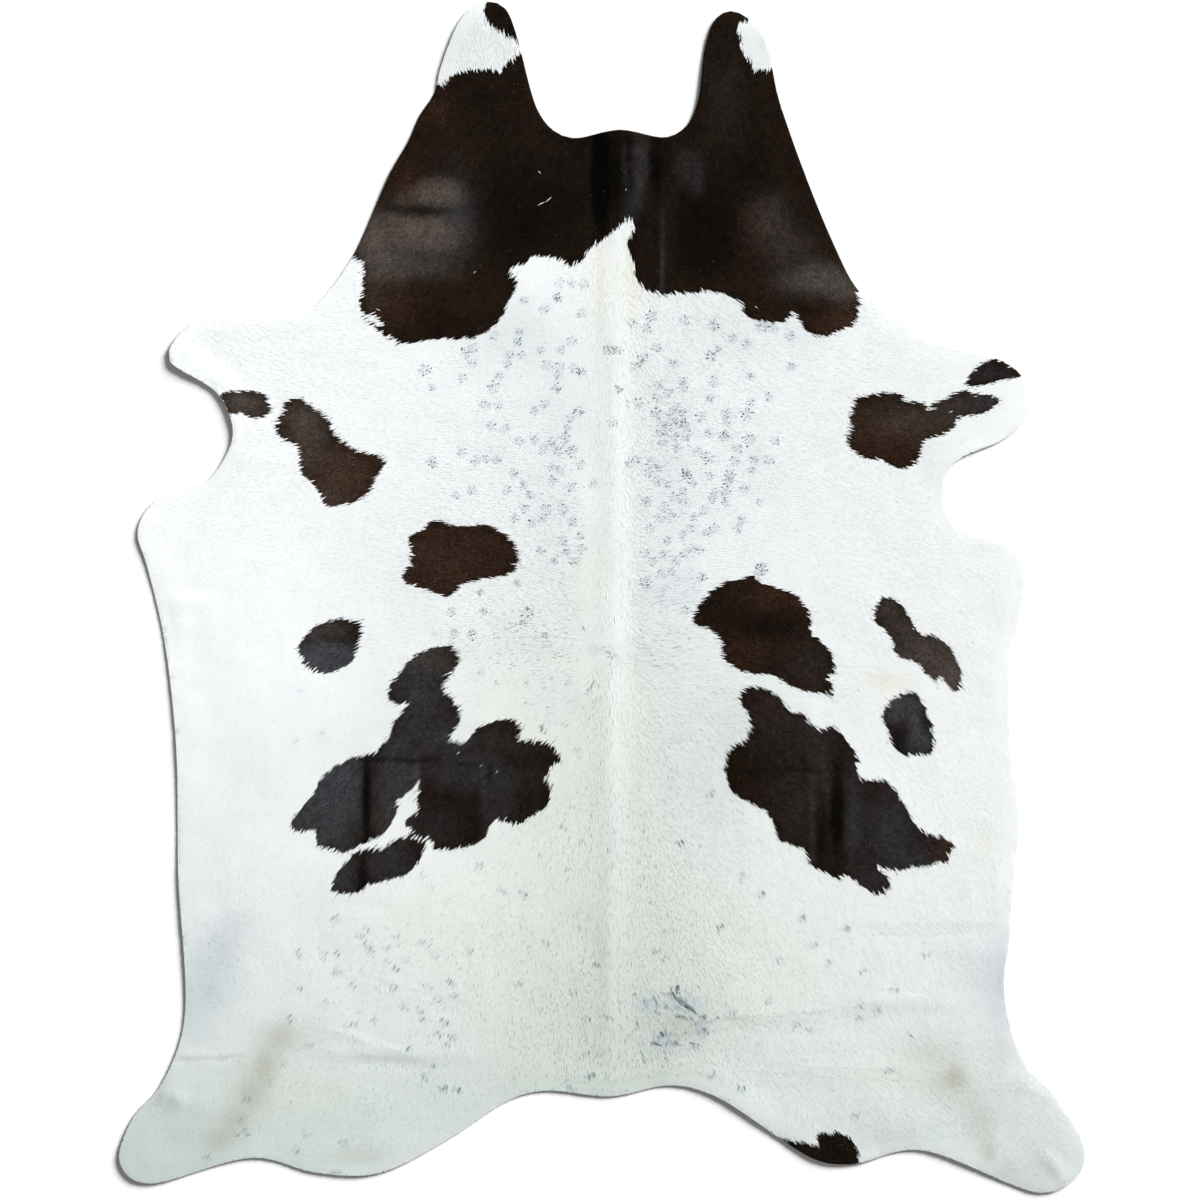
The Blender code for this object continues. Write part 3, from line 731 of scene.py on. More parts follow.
skin = {
    "net": 12 * mm,           # between the cuts that refine the upper side
    "fieldCell": 5 * mm,      # of the grid that softens the solid's heights
    "fieldMargin": 8,         # cells that the grid has beyond the hide
    "softening": 3,           # rounds
    "coatDepth": 1.3 * mm,    # how far the leather lies under the solid's coat
    "rimDepth": 0.5 * mm,     # the same at the cut edge
    "rimStart": 1.5 * mm,     # in from the cut edge, up to where the solid's own edge stays
    "rimWidth": 26 * mm,
    "settleWidth": 12 * mm,   # over which the softened height takes the place of the solid's
    "lowest": 1.2 * mm,       # the upper side over the floor
    "wave": (0.3 * mm, 0.16),    # height and size of the leather's slight waves
    "ripple": (0.12 * mm, 0.07),
    "flat": (1.834, 2.262),
    "area": 2.86,
}


def isUpper(face):
    # The upper side without the wall of the cut edge.
    return face.normal.z > 0.25


def cutEdge(mesh):
    # The widest ring of the hide, in order round it.
    ring = [edge for edge in mesh.edges if edge.link_faces[0].normal.z * edge.link_faces[1].normal.z < 0]
    beside = {}
    for edge in ring:
        for vert in edge.verts:
            beside.setdefault(vert, []).append(edge.other_vert(vert))
    start = ring[0].verts[0]
    path, last, here = [start], None, start
    while True:
        following = [vert for vert in beside[here] if vert is not last]
        last, here = here, following[0]
        if here is start:
            break
        path.append(here)
    return np.array([vert.co.to_2d()[:] for vert in path])


def makeSkin():
    # The solid's own mesh, its flat faces joined and then cut into an even net on the upper side.
    mesh = bmesh.new()
    mesh.from_mesh(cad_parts["hide"].data)
    bmesh.ops.remove_doubles(mesh, verts=mesh.verts, dist=0.01 * mm)
    mesh.normal_update()
    rim = cutEdge(mesh)
    tree = BVHTree.FromBMesh(mesh)
    flat = [edge for edge in mesh.edges if all(isUpper(face) for face in edge.link_faces)]
    bmesh.ops.dissolve_limit(mesh, angle_limit=math.radians(0.3), verts=[], edges=flat)
    for axis, half in enumerate(0.5 * np.array(skin["flat"]) + skin["net"]):
        for place in np.arange(-half, half, skin["net"]):
            upper = [face for face in mesh.faces if isUpper(face)]
            verts = {vert for face in upper for vert in face.verts}
            edges = {edge for face in upper for edge in face.edges}
            spot, facing = np.zeros((2, 3))
            spot[axis], facing[axis] = place, 1
            bmesh.ops.bisect_plane(mesh, geom=upper + list(verts | edges), dist=0.3 * mm,
                                   plane_co=spot, plane_no=facing)
    for _ in range(2):
        bmesh.ops.triangulate(mesh, faces=[face for face in mesh.faces if len(face.verts) > 3])
        bmesh.ops.dissolve_degenerate(mesh, dist=0.1 * mm, edges=mesh.edges)
    bmesh.ops.triangulate(mesh, faces=[face for face in mesh.faces if len(face.verts) > 3])
    mesh.normal_update()
    return mesh, rim, tree


def softHeights(tree):
    # The height of the solid's upper side on a square grid, softened over a few cells, and its corner.
    cell = skin["fieldCell"]
    low = np.floor(-0.5 * np.array(skin["flat"]) / cell) * cell - skin["fieldMargin"] * cell
    counts = np.ceil(-2 * low / cell).astype(int)
    heights, inside = np.zeros((2, *counts))
    for i, across in enumerate(low[0] + cell * np.arange(counts[0])):
        for j, up in enumerate(low[1] + cell * np.arange(counts[1])):
            hit = tree.ray_cast((across, up, 0.1), (0, 0, -1))[0]
            if hit:
                heights[i, j], inside[i, j] = hit.z, 1
    for _ in range(skin["softening"]):
        for axis in (0, 1):
            heights, inside = [0.5 * each + 0.25 * (np.roll(each, 1, axis) + np.roll(each, -1, axis))
                               for each in (heights, inside)]
    return heights / np.maximum(inside, 1e-6), low


def meshPoints(mesh):
    return np.array([vert.co[:] for vert in mesh.verts])


# Creases of the leather beside those of its solid: (start, end, rise in mm, half width in mm).
creases = (
    ((166, 1060), (252, 1062), -1.0, 5), ((160, 1094), (186, 1106), 1.6, 12),
    ((300, 906), (400, 909), -0.5, 8), ((322, 1062), (450, 1068), -0.7, 6),
    ((317, 1029), (421, 1057), 1.0, 6), ((365, 982), (442, 999), -0.9, 5),
    ((430, 1000), (470, 1010), -0.5, 6), ((176, 1059), (252, 1060), -0.9, 4),
    ((160, 617), (222, 619), -1.0, 9), ((152, 606), (215, 600), 0.8, 10),
    ((700, 1022), (830, 1010), 1.0, 5), ((812, 1012), (960, 992), 0.6, 6),
    ((744, 1066), (930, 1078), -0.7, 5), ((850, 928), (1008, 930), -0.7, 5),
    ((880, 985), (960, 1000), -0.25, 7), ((930, 1050), (990, 1040), 0.6, 7),
    ((820, 858), (826, 740), -0.8, 9), ((842, 868), (850, 750), 0.9, 8), ((480, 722), (486, 838), 0.8, 9),
    ((378, 760), (362, 846), 0.8, 10), ((420, 760), (424, 850), -0.7, 9), ((440, 640), (512, 640), 0.4, 12),
    ((1040, 1150), (1068, 1184), 0.9, 8), ((1016, 1080), (1060, 1106), 0.7, 9),
    ((206, 386), (238, 402), -1.2, 6), ((182, 350), (206, 372), 0.7, 10), ((690, 140), (704, 286), 0.7, 9),
    ((664, 150), (660, 290), 0.8, 5), ((676, 150), (674, 280), -0.6, 6), ((430, 180), (416, 240), -0.7, 6),
    ((452, 150), (448, 230), 0.7, 10), ((716, 110), (764, 120), 0.4, 14),
)


creaseShape = {
    "rise": 0.95,        # times what the table says
    "width": 1.6,
    "wander": 3 * mm,    # off its straight line, in one long bow
    "tremble": 0.4 * mm,  # and in short ones
    "fade": 0.3,
}


def creaseHeight(points):
    # No crease runs quite straight, and each fades out at its ends.
    height = np.zeros(len(points))
    for i, (start, end, rise, halfWidth) in enumerate(creases):
        start, end = fromPhoto([start, end])
        length = math.dist(start, end)
        along = (points[:, :2] - start) @ (end - start) / length ** 2
        across = (points[:, :2] - start) @ np.array((start[1] - end[1], end[0] - start[0])) / length
        bow, tremble = np.sin(along * 5 + i), np.sin(along * 12 + 2 * i)
        across += creaseShape["wander"] * bow + creaseShape["tremble"] * tremble
        fade = smooth(3 * along + creaseShape["fade"]) * smooth(3 * (1 - along) + creaseShape["fade"])
        fade *= 0.8 + 0.2 * np.sin(along * 11 + i)
        ridge = closeness(across, creaseShape["width"] * halfWidth * mm)
        height += creaseShape["rise"] * rise * mm * ridge * fade
    return height


def lyingHeight(points):
    # The softened height of the solid's upper side with the creases and the leather's slight waves.
    soft = lookUp(solidHeights, (points[:, :2] - gridCorner) / skin["fieldCell"]) + creaseHeight(points)
    (wave, waveSize), (ripple, rippleSize) = skin["wave"], skin["ripple"]
    return soft + wave * waves(points, waveSize) + ripple * waves(points, rippleSize, 0.7)


def sinkDepth(inset):
    # How far under the solid's coat the leather lies, so far in from the cut edge.
    return blend(skin["rimDepth"], skin["coatDepth"], past(inset, skin["rimStart"], skin["rimWidth"]))


print("hide: leather")
skinMesh, rimCurve, solidTree = makeSkin()
solidHeights, gridCorner = softHeights(solidTree)
skinPoints = meshPoints(skinMesh)
skinInset = depthInside(skinPoints, rimCurve)
facesUp = np.array([vert.normal.z > 0.7 for vert in skinMesh.verts])
innerIndex = np.flatnonzero(facesUp & (skinInset > skin["rimStart"]))
inner, innerInset = skinPoints[innerIndex], skinInset[innerIndex]
settled = smooth(innerInset / skin["settleWidth"])
inner[:, 2] += (lyingHeight(inner) - inner[:, 2]) * settled - sinkDepth(innerInset)
skinMesh.verts.ensure_lookup_table()
for index, height in zip(innerIndex, inner[:, 2]):
    skinMesh.verts[index].co.z = max(height, skin["lowest"])
skinMesh.normal_update()
skinPoints = meshPoints(skinMesh)


def addAttribute(data, name, values):
    values = np.asarray(values, dtype=np.float32)
    data.attributes.new(name, "FLOAT", "POINT").data.foreach_set("value", values)


def cornerVerts(data):
    # The number of the vertex at each corner of a mesh's faces.
    corners = np.empty(len(data.loops), dtype=np.int32)
    data.loops.foreach_get("vertex_index", corners)
    return corners


def addMap(data, places):
    data.uv_layers.new(name="OFBake").data.foreach_set("uv", places.astype(np.float32).ravel())


def link(name, data):
    piece = bpy.data.objects.new(name, data)
    bpy.context.scene.collection.objects.link(piece)
    return piece


underside = np.array([sum(face.normal.z for face in vert.link_faces) < 0 for vert in skinMesh.verts])
upperFaces = np.array([[vert.index for vert in face.verts]
                       for face in skinMesh.faces if face.normal.z > 0.5])
faceUnder = [face.normal.z < 0 for face in skinMesh.faces]
leather = bpy.data.meshes.new("cowhide")
skinMesh.to_mesh(leather)
skinMesh.free()
leather.shade_smooth()
addAttribute(leather, "underside", underside)
addAttribute(leather, "patch", patchDepth(skinPoints) / patchReach)
for tintName, strength in paintedTints(skinPoints, hazeTint(skinPoints)).items():
    addAttribute(leather, tintName, strength)

# Where each side lies across the leather's map, and both lie up it: (start, span). The underside is a
# mirrored strip.
leatherMap = {"upper": (0.01, 0.74), "under": (0.985, -0.215), "up": (0.01, 0.98)}
span = skinPoints.max(axis=0) - skinPoints.min(axis=0)
mapPlace = ((skinPoints - skinPoints.min(axis=0)) / span)[cornerVerts(leather), :2]
side = np.where(np.repeat(faceUnder, 3)[:, None], leatherMap["under"], leatherMap["upper"])
mapPlace[:, 0] = side[:, 0] + side[:, 1] * mapPlace[:, 0]
mapPlace[:, 1] = leatherMap["up"][0] + leatherMap["up"][1] * mapPlace[:, 1]
addMap(leather, mapPlace)
hide = link("cowhide", leather)
print("hide:", len(leather.polygons), "triangles,", len(upperFaces), "of them carry hair")


# The coat: flat blades of hair that lie over each other

coat = {
    "blades": 412000,
    "bands": ("neck", "shoulders", "belly", "loin", "rump"),
    "length": 14.5 * mm,
    "lengths": (0.75, 0.5),      # the shortest, of the length, and what chance adds
    "width": 2.2 * mm,
    "widths": (0.7, 0.6),        # the same for the width
    "edgeWidth": 1.3 * mm,       # at the patches' edges
    "edgeReach": 11 * mm,        # and how far off that tells
    "spineLength": 21 * mm,
    "spineLengths": (0.5, 0.8),  # of what it has more
    "spineHair": 1.4 * mm,       # width of the blades at the spine
    "spineWidth": 12,            # pixels out from the spine
    "spineStart": (210, 40),     # pixel row where the taller hair begins, and the rows it takes
    "legLength": 0.8,            # of the length
    "legStart": (0.62, 0.1),     # metres out from the spine, and the width of the change
    "edgeCrowd": (0.9, 12 * mm),  # share of blades more at the patches' edges, and their reach
    "rimCrowd": (0.5, 14 * mm),  # the same at the cut edge
    "spineCrowd": 0.6,           # the same at the spine
    "hazeCrowd": 2.5,            # the same in the flecks' haze
    "rimReach": 0.045,           # blades nearer than this to the cut edge are held back at it
    "overhang": 0.2 * mm,        # past the cut edge
    "darkLength": 0.52,          # of the length
    "darkWidth": 0.75,           # of the width
    "toothJitter": 3.3 * mm,     # how far the patches' edges run in and out
    "toothMost": 10 * mm,
    "toothSize": (1.7 * mm, 12 * mm),  # width and length
    "toothZone": 18 * mm,        # off the edges, where they are worked out
    "toothStep": 4 * mm,         # over which it is seen whether the hair runs across the edge
    "stray": 0.00005,            # share of single white hairs in the dark coat
    "straySize": (0.6, 0.5),     # of length and width
    "thinSize": (0.7, 0.32),     # the same for the grey hairs of the hazes
    "thinGrey": (0.12, 0.4),     # how grey those are
    "glintSize": (0.36, 0.52),   # the same for the painted glints, light hairs in the dark coat
    "glints": (0.006, 0.26),     # their share in the plain dark coat, and how much more where it is warm
    "fleckWidth": (1.6 * mm, 0.95 * mm),  # front and rear half
    "fleckWidens": (0.85, 0.8),  # a white one's width, and what a black one has more
    "fleckLift": 0.9 * mm,
    "lifts": (0.5, 0.6),         # of the lift, for thin hairs and painted glints
    # Unevenness of tone, from hair to hair and in strands: (strength, width, length).
    "darkJitter": 0.24,
    "darkStrands": ((0.24, 5 * mm, 5 * mm), (0.13, 11 * mm, 16 * mm)),
    "whiteJitter": 0.16,
    "whiteStrands": ((0.15, 4 * mm, 30 * mm),),
    "calmStart": (720, 60),      # pixel column where the smoother right flank begins, and the change
    "calm": 0.7,                 # how much of the unevenness is gone there
    # Painted shade: the white coat is darkened this much where it is calm, in place of the shadows that its
    # flatter blades no longer cast.
    "calmPaintedShade": 0.2,
    "rise": 0.015,               # how steeply a blade leaves the leather
    "rises": (0.7, 0.6),
    "spineFlatter": 0.6,
    "uphillMost": 0.25,          # of the leather's slope along a blade
    "sidewaysMost": 0.2,
    "clear": 1.5 * mm,           # height over the floor that a blade's tip keeps
    "rollJitter": 0.010,
    "headingJitter": 0.10,
}


def rootPlaces():
    # Random roots on the upper triangles, denser at the spine, at the patches' edges and at the cut edge.
    corner = skinPoints[upperFaces]
    first, along, up = corner[:, 0], corner[:, 1] - corner[:, 0], corner[:, 2] - corner[:, 0]
    area = np.linalg.norm(np.cross(along, up), axis=1) / 2
    middle = corner.mean(axis=1)
    out = np.abs(toPhoto(middle)[:, 0] - photo["spine"])
    cornerInset = skinInset[upperFaces]
    edgeMore, edgeReach = coat["edgeCrowd"]
    rimMore, rimReach = coat["rimCrowd"]
    dense = 1 + edgeMore * closeness(np.abs(patchDepth(middle)), edgeReach)
    dense = dense + rimMore * closeness(cornerInset.mean(axis=1), rimReach)
    dense += (coat["spineCrowd"] * closeness(out, coat["spineWidth"])
              + coat["hazeCrowd"] * hazeTint(middle))
    wanted = area * dense
    count = np.floor(wanted * coat["blades"] / wanted.sum() + chance.random(len(wanted))).astype(int)
    face = np.repeat(np.arange(len(count)), count)
    one, two = chance.random(len(face)), chance.random(len(face))
    over = one + two > 1
    one[over], two[over] = 1 - one[over], 1 - two[over]
    place = first[face] + one[:, None] * along[face]
    place += two[:, None] * up[face]
    inset = cornerInset[face, 0] * (1 - one - two) + cornerInset[face, 1] * one
    return place, inset + cornerInset[face, 2] * two


def vary(low, extra):
    # A number for each blade, from low to low + extra.
    return low + extra * chance.random(total)


print("coat: roots")
roots, inset = rootPlaces()
order = np.argsort(-roots[:, 1])
roots, inset = roots[order], inset[order]
total = len(roots)
heading = hairHeading(roots) + coat["headingJitter"] * chance.standard_normal(total)
lie = np.stack((np.cos(heading), np.sin(heading)), axis=1)
across, down = toPhoto(roots).T
spineShare = closeness(np.abs(across - photo["spine"]), coat["spineWidth"])
spineShare *= past(down, *coat["spineStart"])
length = coat["length"] * vary(*coat["lengths"])
length += (coat["spineLength"] - coat["length"]) * spineShare * vary(*coat["spineLengths"])
length *= blend(1, coat["legLength"], past(np.abs(roots[:, 0]), *coat["legStart"]))
nearPatch = closeness(patchDepth(roots), coat["edgeReach"])
width = blend(coat["width"], coat["edgeWidth"], nearPatch)
width += (coat["spineHair"] - coat["width"]) * spineShare
width *= vary(*coat["widths"])

# Blades that would reach far past the cut edge are cut short there.
nearRim = np.flatnonzero(inset < coat["rimReach"])
tipInset = depthInside(roots[nearRim, :2] + lie[nearRim] * length[nearRim, None], rimCurve)
reach = (inset[nearRim] + coat["overhang"]) / np.maximum(inset[nearRim] - tipInset, 1e-6)
length[nearRim] *= np.where(tipInset < -coat["overhang"], np.clip(reach, 0.05, 1), 1)

print("coat: patches and flecks")
middle = roots[:, :2] + lie * 0.5 * length[:, None]
smoothHeading = hairHeading(middle)
insideDark = patchDepth(middle)
# The patches' edges are torn into teeth along the hair, most where the hair runs across the edge.
nearEdge = np.flatnonzero(np.abs(insideDark) < coat["toothZone"])
edgePlace = middle[nearEdge]
step = coat["toothStep"] * lie[nearEdge]
crossing = np.abs(patchDepth(edgePlace + step) - patchDepth(edgePlace - step)) / (2 * coat["toothStep"])
teeth = 0.7 * strands(edgePlace, smoothHeading[nearEdge], *coat["toothSize"])
teeth = (teeth + 0.55 * chance.standard_normal(len(nearEdge))) * (0.65 + 0.35 * np.clip(crossing, 0, 1))
insideDark[nearEdge] += np.clip(coat["toothJitter"] * teeth, -coat["toothMost"], coat["toothMost"])
dark = (insideDark > 0).astype(float)
isStray = (dark == 1) & (chance.random(total) < coat["stray"])
dark[isStray] = 0
length[isStray] *= coat["straySize"][0]
width[isStray] *= coat["straySize"][1]
length *= blend(1, coat["darkLength"], dark * (1 - 0.5 * nearPatch))
width *= blend(1, coat["darkWidth"], dark)
painted = {"dark": dark}
painted.update(paintedTints(roots, hazeTint(middle)))
drawnLot = chance.random(total)
isThin = (drawnLot < softSpots(middle, hazes)) & (dark == 0)
# Painted glints: a few light, short, lifted hairs in the dark coat, most where it is brown or has painted
# sheen, stand in for hairs catching the light.
warm = np.maximum(painted["brown"], painted["paintedSheen"]) * (1 - painted["blackAndFoldShade"])
plainGlints, warmGlints = coat["glints"]
isGlint = (drawnLot < plainGlints + warmGlints * warm) & (dark == 1)
thinGrey = chance.uniform(*coat["thinGrey"], total)
glintLight = chance.random(total) ** 2
# A hair's fleck value is the grey of a thin hair, and for a dark hair the lightness of its painted glint.
fleck = np.where(isThin, thinGrey, np.where(isGlint, glintLight, 0))
for chosen, (lengthShare, widthShare) in ((isThin, coat["thinSize"]), (isGlint, coat["glintSize"])):
    length[chosen] *= lengthShare
    width[chosen] *= widthShare
lifted = coat["fleckLift"] * vary(*coat["lifts"]) * (isThin | isGlint)


def uneven(jitter, layers):
    # Light and dark from blade to blade and in strands.
    drawn = jitter * chance.standard_normal(total)
    for strength, cell, reach in layers:
        drawn += strength * strands(middle, smoothHeading, cell, reach)
    return drawn


mottled = uneven(coat["darkJitter"], coat["darkStrands"])
streaked = uneven(coat["whiteJitter"], coat["whiteStrands"])
calm = past(across, *coat["calmStart"])
# Painted shade on the calm right flank, in place of the blades' lost shadows.
streaked -= coat["calmPaintedShade"] * calm
tone = np.clip(0.5 + np.where(dark == 1, mottled, streaked) + 0.08 * waves(roots, 0.06, 0.3), 0, 1)

# The hairs of the flecks and strokes take the place of the nearest roots.
rootTree = KDTree(total)
for index, place in enumerate(roots):
    rootTree.insert((place[0], place[1], 0), index)
rootTree.balance()
isFleck = np.zeros(total, dtype=bool)
for *ends, darkness in fleckHairs() + strokeHairs():
    start, end = fromPhoto([ends[:2], ends[2:]])
    free = [index for _, index, _ in rootTree.find_n((start[0], start[1], 0), 8) if not isFleck[index]]
    if not free or (darkness > 0 and dark[free[0]]):
        continue
    index = free[0]
    isFleck[index] = True
    roots[index, :2] = start
    heading[index] = math.atan2(end[1] - start[1], end[0] - start[0])
    lie[index] = (math.cos(heading[index]), math.sin(heading[index]))
    length[index] = math.dist(start, end)
    narrow, more = coat["fleckWidens"]
    width[index] = blend(*coat["fleckWidth"], rearShare(ends[1])) * (narrow + more * max(darkness, 0))
    fleck[index] = max(darkness, 0)
    dark[index] = 0
    tone[index] = 1 if darkness < 0 else 0.5
    for values in painted.values():
        values[index] *= darkness > 0  # a white hair takes no tint
    lifted[index] = coat["fleckLift"] * chance.uniform(0.9, 1.2)
painted["fleck"] = fleck
painted["tone"] = tone


def hairBlade():
    # A flat kite, 1 long and 1 wide, that points to +X and is folded a little across its widest place.
    mesh = bmesh.new()
    bmesh.ops.create_circle(mesh, segments=4, radius=0.5, cap_ends=True)
    bmesh.ops.translate(mesh, verts=mesh.verts, vec=(0.5, 0, 0))
    sides = [vert for vert in mesh.verts if abs(vert.co.y) > 0.1]
    bmesh.ops.translate(mesh, verts=sides, vec=(-0.08, 0, 0.006))
    bmesh.ops.connect_verts(mesh, verts=sides)
    data = bpy.data.meshes.new("hairBlade")
    mesh.to_mesh(data)
    mesh.free()
    return link("hairBlade", data)


def growthNodes(blade, material):
    # Puts a turned and scaled blade on every root and makes one mesh of them.
    tree = bpy.data.node_groups.new("hairGrowth", "GeometryNodeTree")
    for direction in ("INPUT", "OUTPUT"):
        tree.interface.new_socket("Geometry", in_out=direction, socket_type="NodeSocketGeometry")
    nodes, links = tree.nodes, tree.links
    start, end = nodes.new("NodeGroupInput"), nodes.new("NodeGroupOutput")
    source = nodes.new("GeometryNodeObjectInfo")
    source.inputs["Object"].default_value = blade
    spread = nodes.new("GeometryNodeInstanceOnPoints")
    whole = nodes.new("GeometryNodeRealizeInstances")
    finish = nodes.new("GeometryNodeSetMaterial")
    finish.inputs["Material"].default_value = material
    for name, socket in (("turn", "Rotation"), ("size", "Scale")):
        read = nodes.new("GeometryNodeInputNamedAttribute")
        read.data_type = "FLOAT_VECTOR"
        read.inputs["Name"].default_value = name
        links.new(read.outputs["Attribute"], spread.inputs[socket])
    links.new(start.outputs[0], spread.inputs["Points"])
    links.new(source.outputs["Geometry"], spread.inputs["Instance"])
    links.new(spread.outputs["Instances"], whole.inputs[0])
    links.new(whole.outputs[0], finish.inputs["Geometry"])
    links.new(finish.outputs[0], end.inputs[0])
    return tree


# Finishes

coatFinish = {
    "white": "fbfdfe",
    "whiteShade": "f4f7f8",
    "dark": "1e1610",
    "fleck": "1e3650",
    # colour of the painted glints
    "glint": "7c6a60",
    "roughness": 0.65,
    "specular": 0.01,
    "suede": "b9a992",
    "suedeShade": "9a8970",
    "tooth": (260.0, 3.0, 0.6),   # scale, detail and roughness of the noise that tears the patches' edges
    "mottle": (420.0, 2.0),       # the same of the leather's light and dark under the coat
    "nap": (900.0, 4.0, 0.65),    # of the suede
    "blotches": (14.0, 3.0),      # of the suede's shade
    "napBump": (0.35, 0.0006),    # strength and metres
}


def coatColour(finish, darkShare, toneShare, fleckAndGlint):
    white = finish.mix(toneShare, linear(coatFinish["whiteShade"]), linear(coatFinish["white"]))
    dark = linear(coatFinish["dark"])
    # The white coat takes its greyer tone, cream, lilac, haze, stains and parting, with the painted shadow
    # by the whorl; the dark coat takes brown and near-black hair, the painted sheens and the painted fold
    # shade.
    for name, (code, _) in tints.items():
        strength = finish.attribute(name)
        if name in ("brown", "paintedSheen", "paintedGreySheen", "blackAndFoldShade"):
            dark = finish.mix(strength, dark, linear(code))
        else:
            white = finish.mix(strength, white, linear(code))
    white = finish.mix(fleckAndGlint, white, linear(coatFinish["fleck"]))
    light = toneShare * 1.1 + 0.4
    dark = finish.node("ShaderNodeVectorMath", {"operation": "SCALE"}, {0: dark, "Scale": light})
    # Painted glints lighten the dark hair by their amount.
    dark = finish.mix(fleckAndGlint, dark, linear(coatFinish["glint"]))
    return finish.mix(darkShare, white, dark)


def hairFinish():
    finish = Finish("coat hair")
    tip = finish.between(finish.attribute("along"), 0.0, 0.6)
    toneShare = finish.attribute("tone") * 0.75 + tip * 0.25
    colour = coatColour(finish, finish.attribute("dark"), toneShare, finish.attribute("fleck"))
    return finish.close(colour, coatFinish["roughness"], coatFinish["specular"])


def skinFinish():
    finish = Finish("hair-on leather")
    place = finish.node("ShaderNodeTexCoord", output="Object")
    tooth = finish.noise(place, *coatFinish["tooth"])
    darkShare = finish.between(finish.attribute("patch") + (tooth - 0.5) * 0.3, -0.03, 0.03)
    toneShare = finish.between(finish.noise(place, *coatFinish["mottle"]), 0.25, 0.75)
    colour = coatColour(finish, darkShare, toneShare, 0.0)
    nap = finish.noise(place, *coatFinish["nap"])
    blotches = finish.noise(place, *coatFinish["blotches"])
    suede = finish.mix(finish.between(nap * 0.6 + blotches * 0.5, 0.35, 0.75),
                       linear(coatFinish["suedeShade"]), linear(coatFinish["suede"]))
    below = finish.attribute("underside")
    strength, distance = coatFinish["napBump"]
    bump = finish.node("ShaderNodeBump", None, {"Height": nap, "Strength": strength, "Distance": distance})
    roughness = finish.between(below, -1.0, 1.0) * 0.3 + 0.6
    return finish.close(finish.mix(below, colour, suede), roughness, coatFinish["specular"], Normal=bump)


print("finishes")
leather.materials.clear()
leather.materials.append(skinFinish())
hairMaterial = hairFinish()

def lieOf(away):
    # How far the coat's lie rises from each root to a point so far away.
    far = roots.copy()
    far[:, :2] += away
    return lyingHeight(far) - lyingHeight(roots)


print("coat: growing")
blade = hairBlade()
growth = growthNodes(blade, hairMaterial)
settled = smooth(inset / skin["settleWidth"])
roots[:, 2] += (lyingHeight(roots) - sinkDepth(inset) - roots[:, 2]) * settled
aside = np.stack((-lie[:, 1], lie[:, 0]), axis=1)
farOut = 0.75 * length[:, None] * lie
uphill = (lieOf(farOut) - lieOf(farOut / 3)) / (length / 2)
uphill = np.clip(uphill, -coat["uphillMost"], coat["uphillMost"])
sideways = np.clip(lieOf(aside * 2 * mm) / (2 * mm), -coat["sidewaysMost"], coat["sidewaysMost"])
uphill = np.maximum(uphill, (coat["clear"] - roots[:, 2]) / length)  # so that no blade dips into the floor
rise = coat["rise"] * vary(*coat["rises"]) * np.minimum(1, coat["length"] / length)
rise *= 1 - coat["spineFlatter"] * spineShare
evenness = 1 - coat["calm"] * calm
rise *= evenness
roll = np.arctan(sideways) + coat["rollJitter"] * evenness * chance.standard_normal(total)
turn = np.stack((roll, -np.arctan(uphill) - rise, heading), axis=1)
roots[:, 2] += 0.1 * mm + lifted
size = np.stack((length, width, length), axis=1)

bladeAlong = np.array([0.5 if abs(vert.co.y) > 0.1 else vert.co.x for vert in blade.data.vertices])
coatPieces = []
for name, part in zip(coat["bands"], np.array_split(np.arange(total), len(coat["bands"]))):
    seeds = bpy.data.meshes.new("hairRoots")
    seeds.from_pydata(roots[part], [], [])
    for key, values in (("turn", turn), ("size", size)):
        seeds.attributes.new(key, "FLOAT_VECTOR", "POINT").data.foreach_set(
            "vector", values[part].astype(np.float32).ravel())
    for key, values in painted.items():
        addAttribute(seeds, key, values[part])
    grower = link("hairRoots", seeds)
    grower.modifiers.new("growth", "NODES").node_group = growth
    grown = bpy.data.meshes.new_from_object(grower.evaluated_get(bpy.context.evaluated_depsgraph_get()))
    bpy.data.objects.remove(grower)
    for key in ("turn", "size"):
        if key in grown.attributes:
            grown.attributes.remove(grown.attributes[key])
    addAttribute(grown, "along", np.tile(bladeAlong, len(part)))
    places = np.empty(3 * len(grown.vertices), dtype=np.float32)
    grown.vertices.foreach_get("co", places)
    places = places.reshape(-1, 3)[:, :2]
    mapPlace = 0.005 + 0.99 * (places - places.min(axis=0)) / (places.max(axis=0) - places.min(axis=0))
    addMap(grown, mapPlace[cornerVerts(grown)])
    grown.shade_smooth()
    grown.name = "coat_" + name
    coatPieces.append(link("coat_" + name, grown))
    print("coat:", name, len(grown.polygons), "triangles")
bpy.data.objects.remove(blade)
bpy.data.node_groups.remove(growth)


# Studio

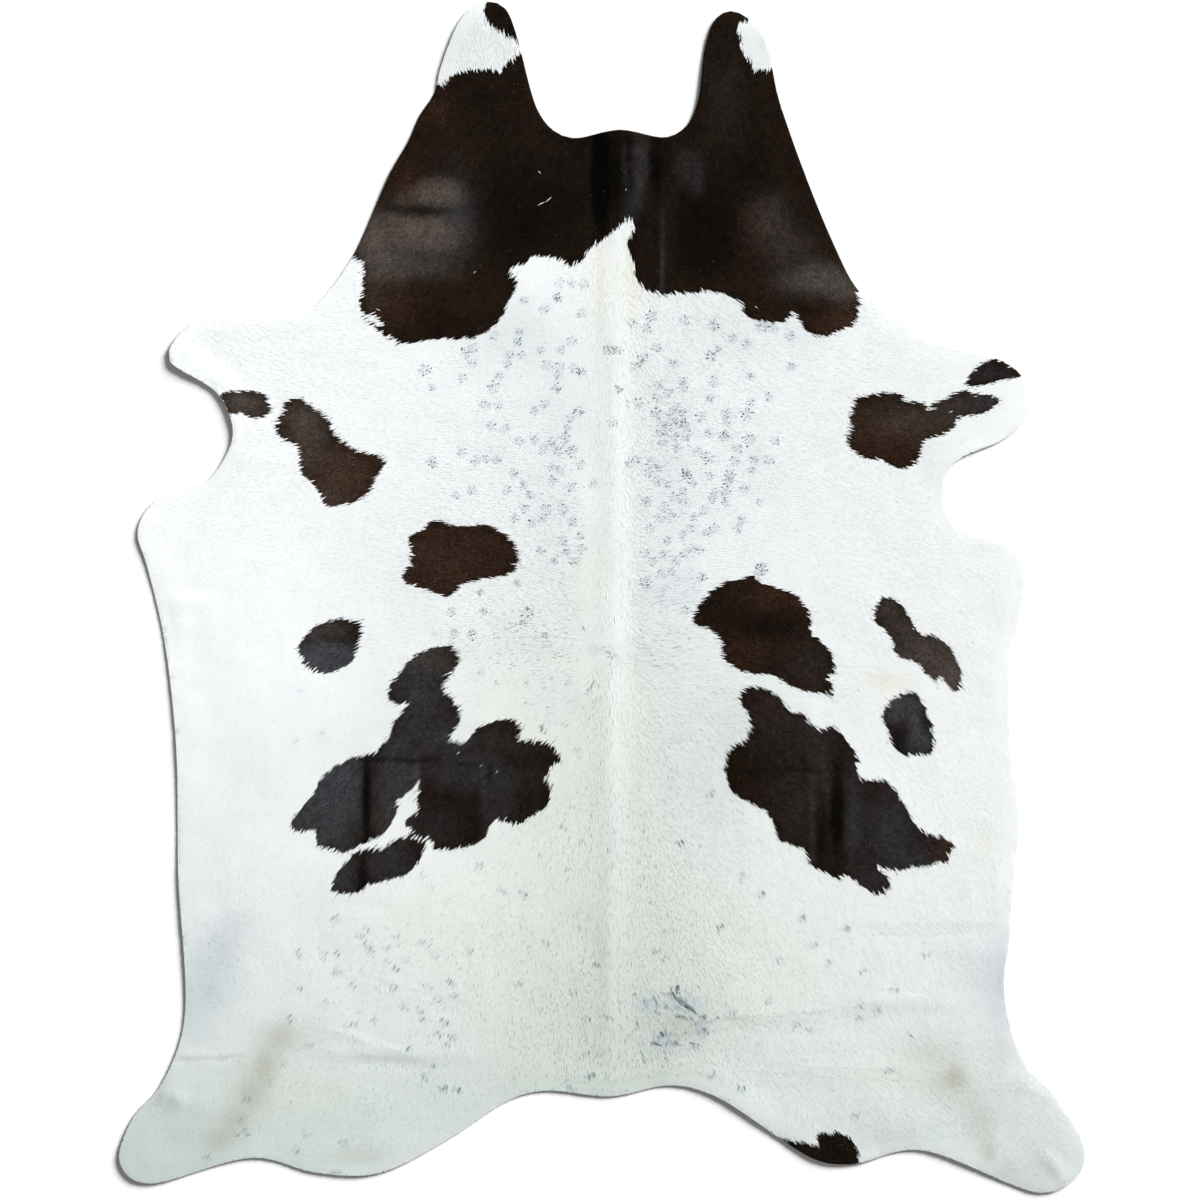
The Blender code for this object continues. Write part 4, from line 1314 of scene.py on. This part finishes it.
studio = {
    "floor": 40.0,
    "floorColour": (0.97, 0.97, 0.97, 1),
    "worldColour": (0.97, 0.985, 1.0, 1),
    "worldStrength": 0.19,
    "sunStrength": 5.75,
    "sunHeight": 28,     # degrees above the floor
    "sunFrom": 42,       # degrees from +X towards +Y
    "sunSize": 24,       # degrees across
    "cameraHeight": 6.333,
    "cameraOver": (600, 600),  # the pixel in the middle of the picture
    "lens": 100,
    "sensor": 36,
}

print("studio")
floorMesh = bmesh.new()
bmesh.ops.create_grid(floorMesh, x_segments=1, y_segments=1, size=studio["floor"])
bmesh.ops.translate(floorMesh, verts=floorMesh.verts, vec=(0, 0, -0.2 * mm))
floorData = bpy.data.meshes.new("floor")
floorMesh.to_mesh(floorData)
floorMesh.free()
paint = Finish("floor paint")
grain = paint.noise(paint.node("ShaderNodeTexCoord", output="Object"), 3.0)
floorData.materials.append(paint.close(studio["floorColour"], grain * 0.1 + 0.8, 0.1))
floor = link("floor", floorData)

world = bpy.data.worlds.new("studio")
world.use_nodes = True
sky = world.node_tree.nodes["Background"].inputs
sky["Color"].default_value = studio["worldColour"]
sky["Strength"].default_value = studio["worldStrength"]
bpy.context.scene.world = world

sun = bpy.data.lights.new("window light", "SUN")
sun.energy = studio["sunStrength"]
sun.angle = math.radians(studio["sunSize"])
height, side = math.radians(studio["sunHeight"]), math.radians(studio["sunFrom"])
towards = Vector((math.cos(height) * math.cos(side), math.cos(height) * math.sin(side), math.sin(height)))
sunlight = link("window light", sun)
sunlight.rotation_mode = "QUATERNION"
sunlight.rotation_quaternion = towards.to_track_quat("Z", "Y")

lens = bpy.data.cameras.new("camera")
lens.lens = studio["lens"]
lens.sensor_width = studio["sensor"]
camera = link("camera", lens)
camera.location = (*fromPhoto(studio["cameraOver"]), studio["cameraHeight"])
bpy.context.scene.camera = camera
bpy.context.scene.view_settings.view_transform = "Standard"
bpy.context.scene.view_settings.look = "None"

# The frame
for piece in (hide, *coatPieces):
    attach(piece, "root")
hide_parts("hide")
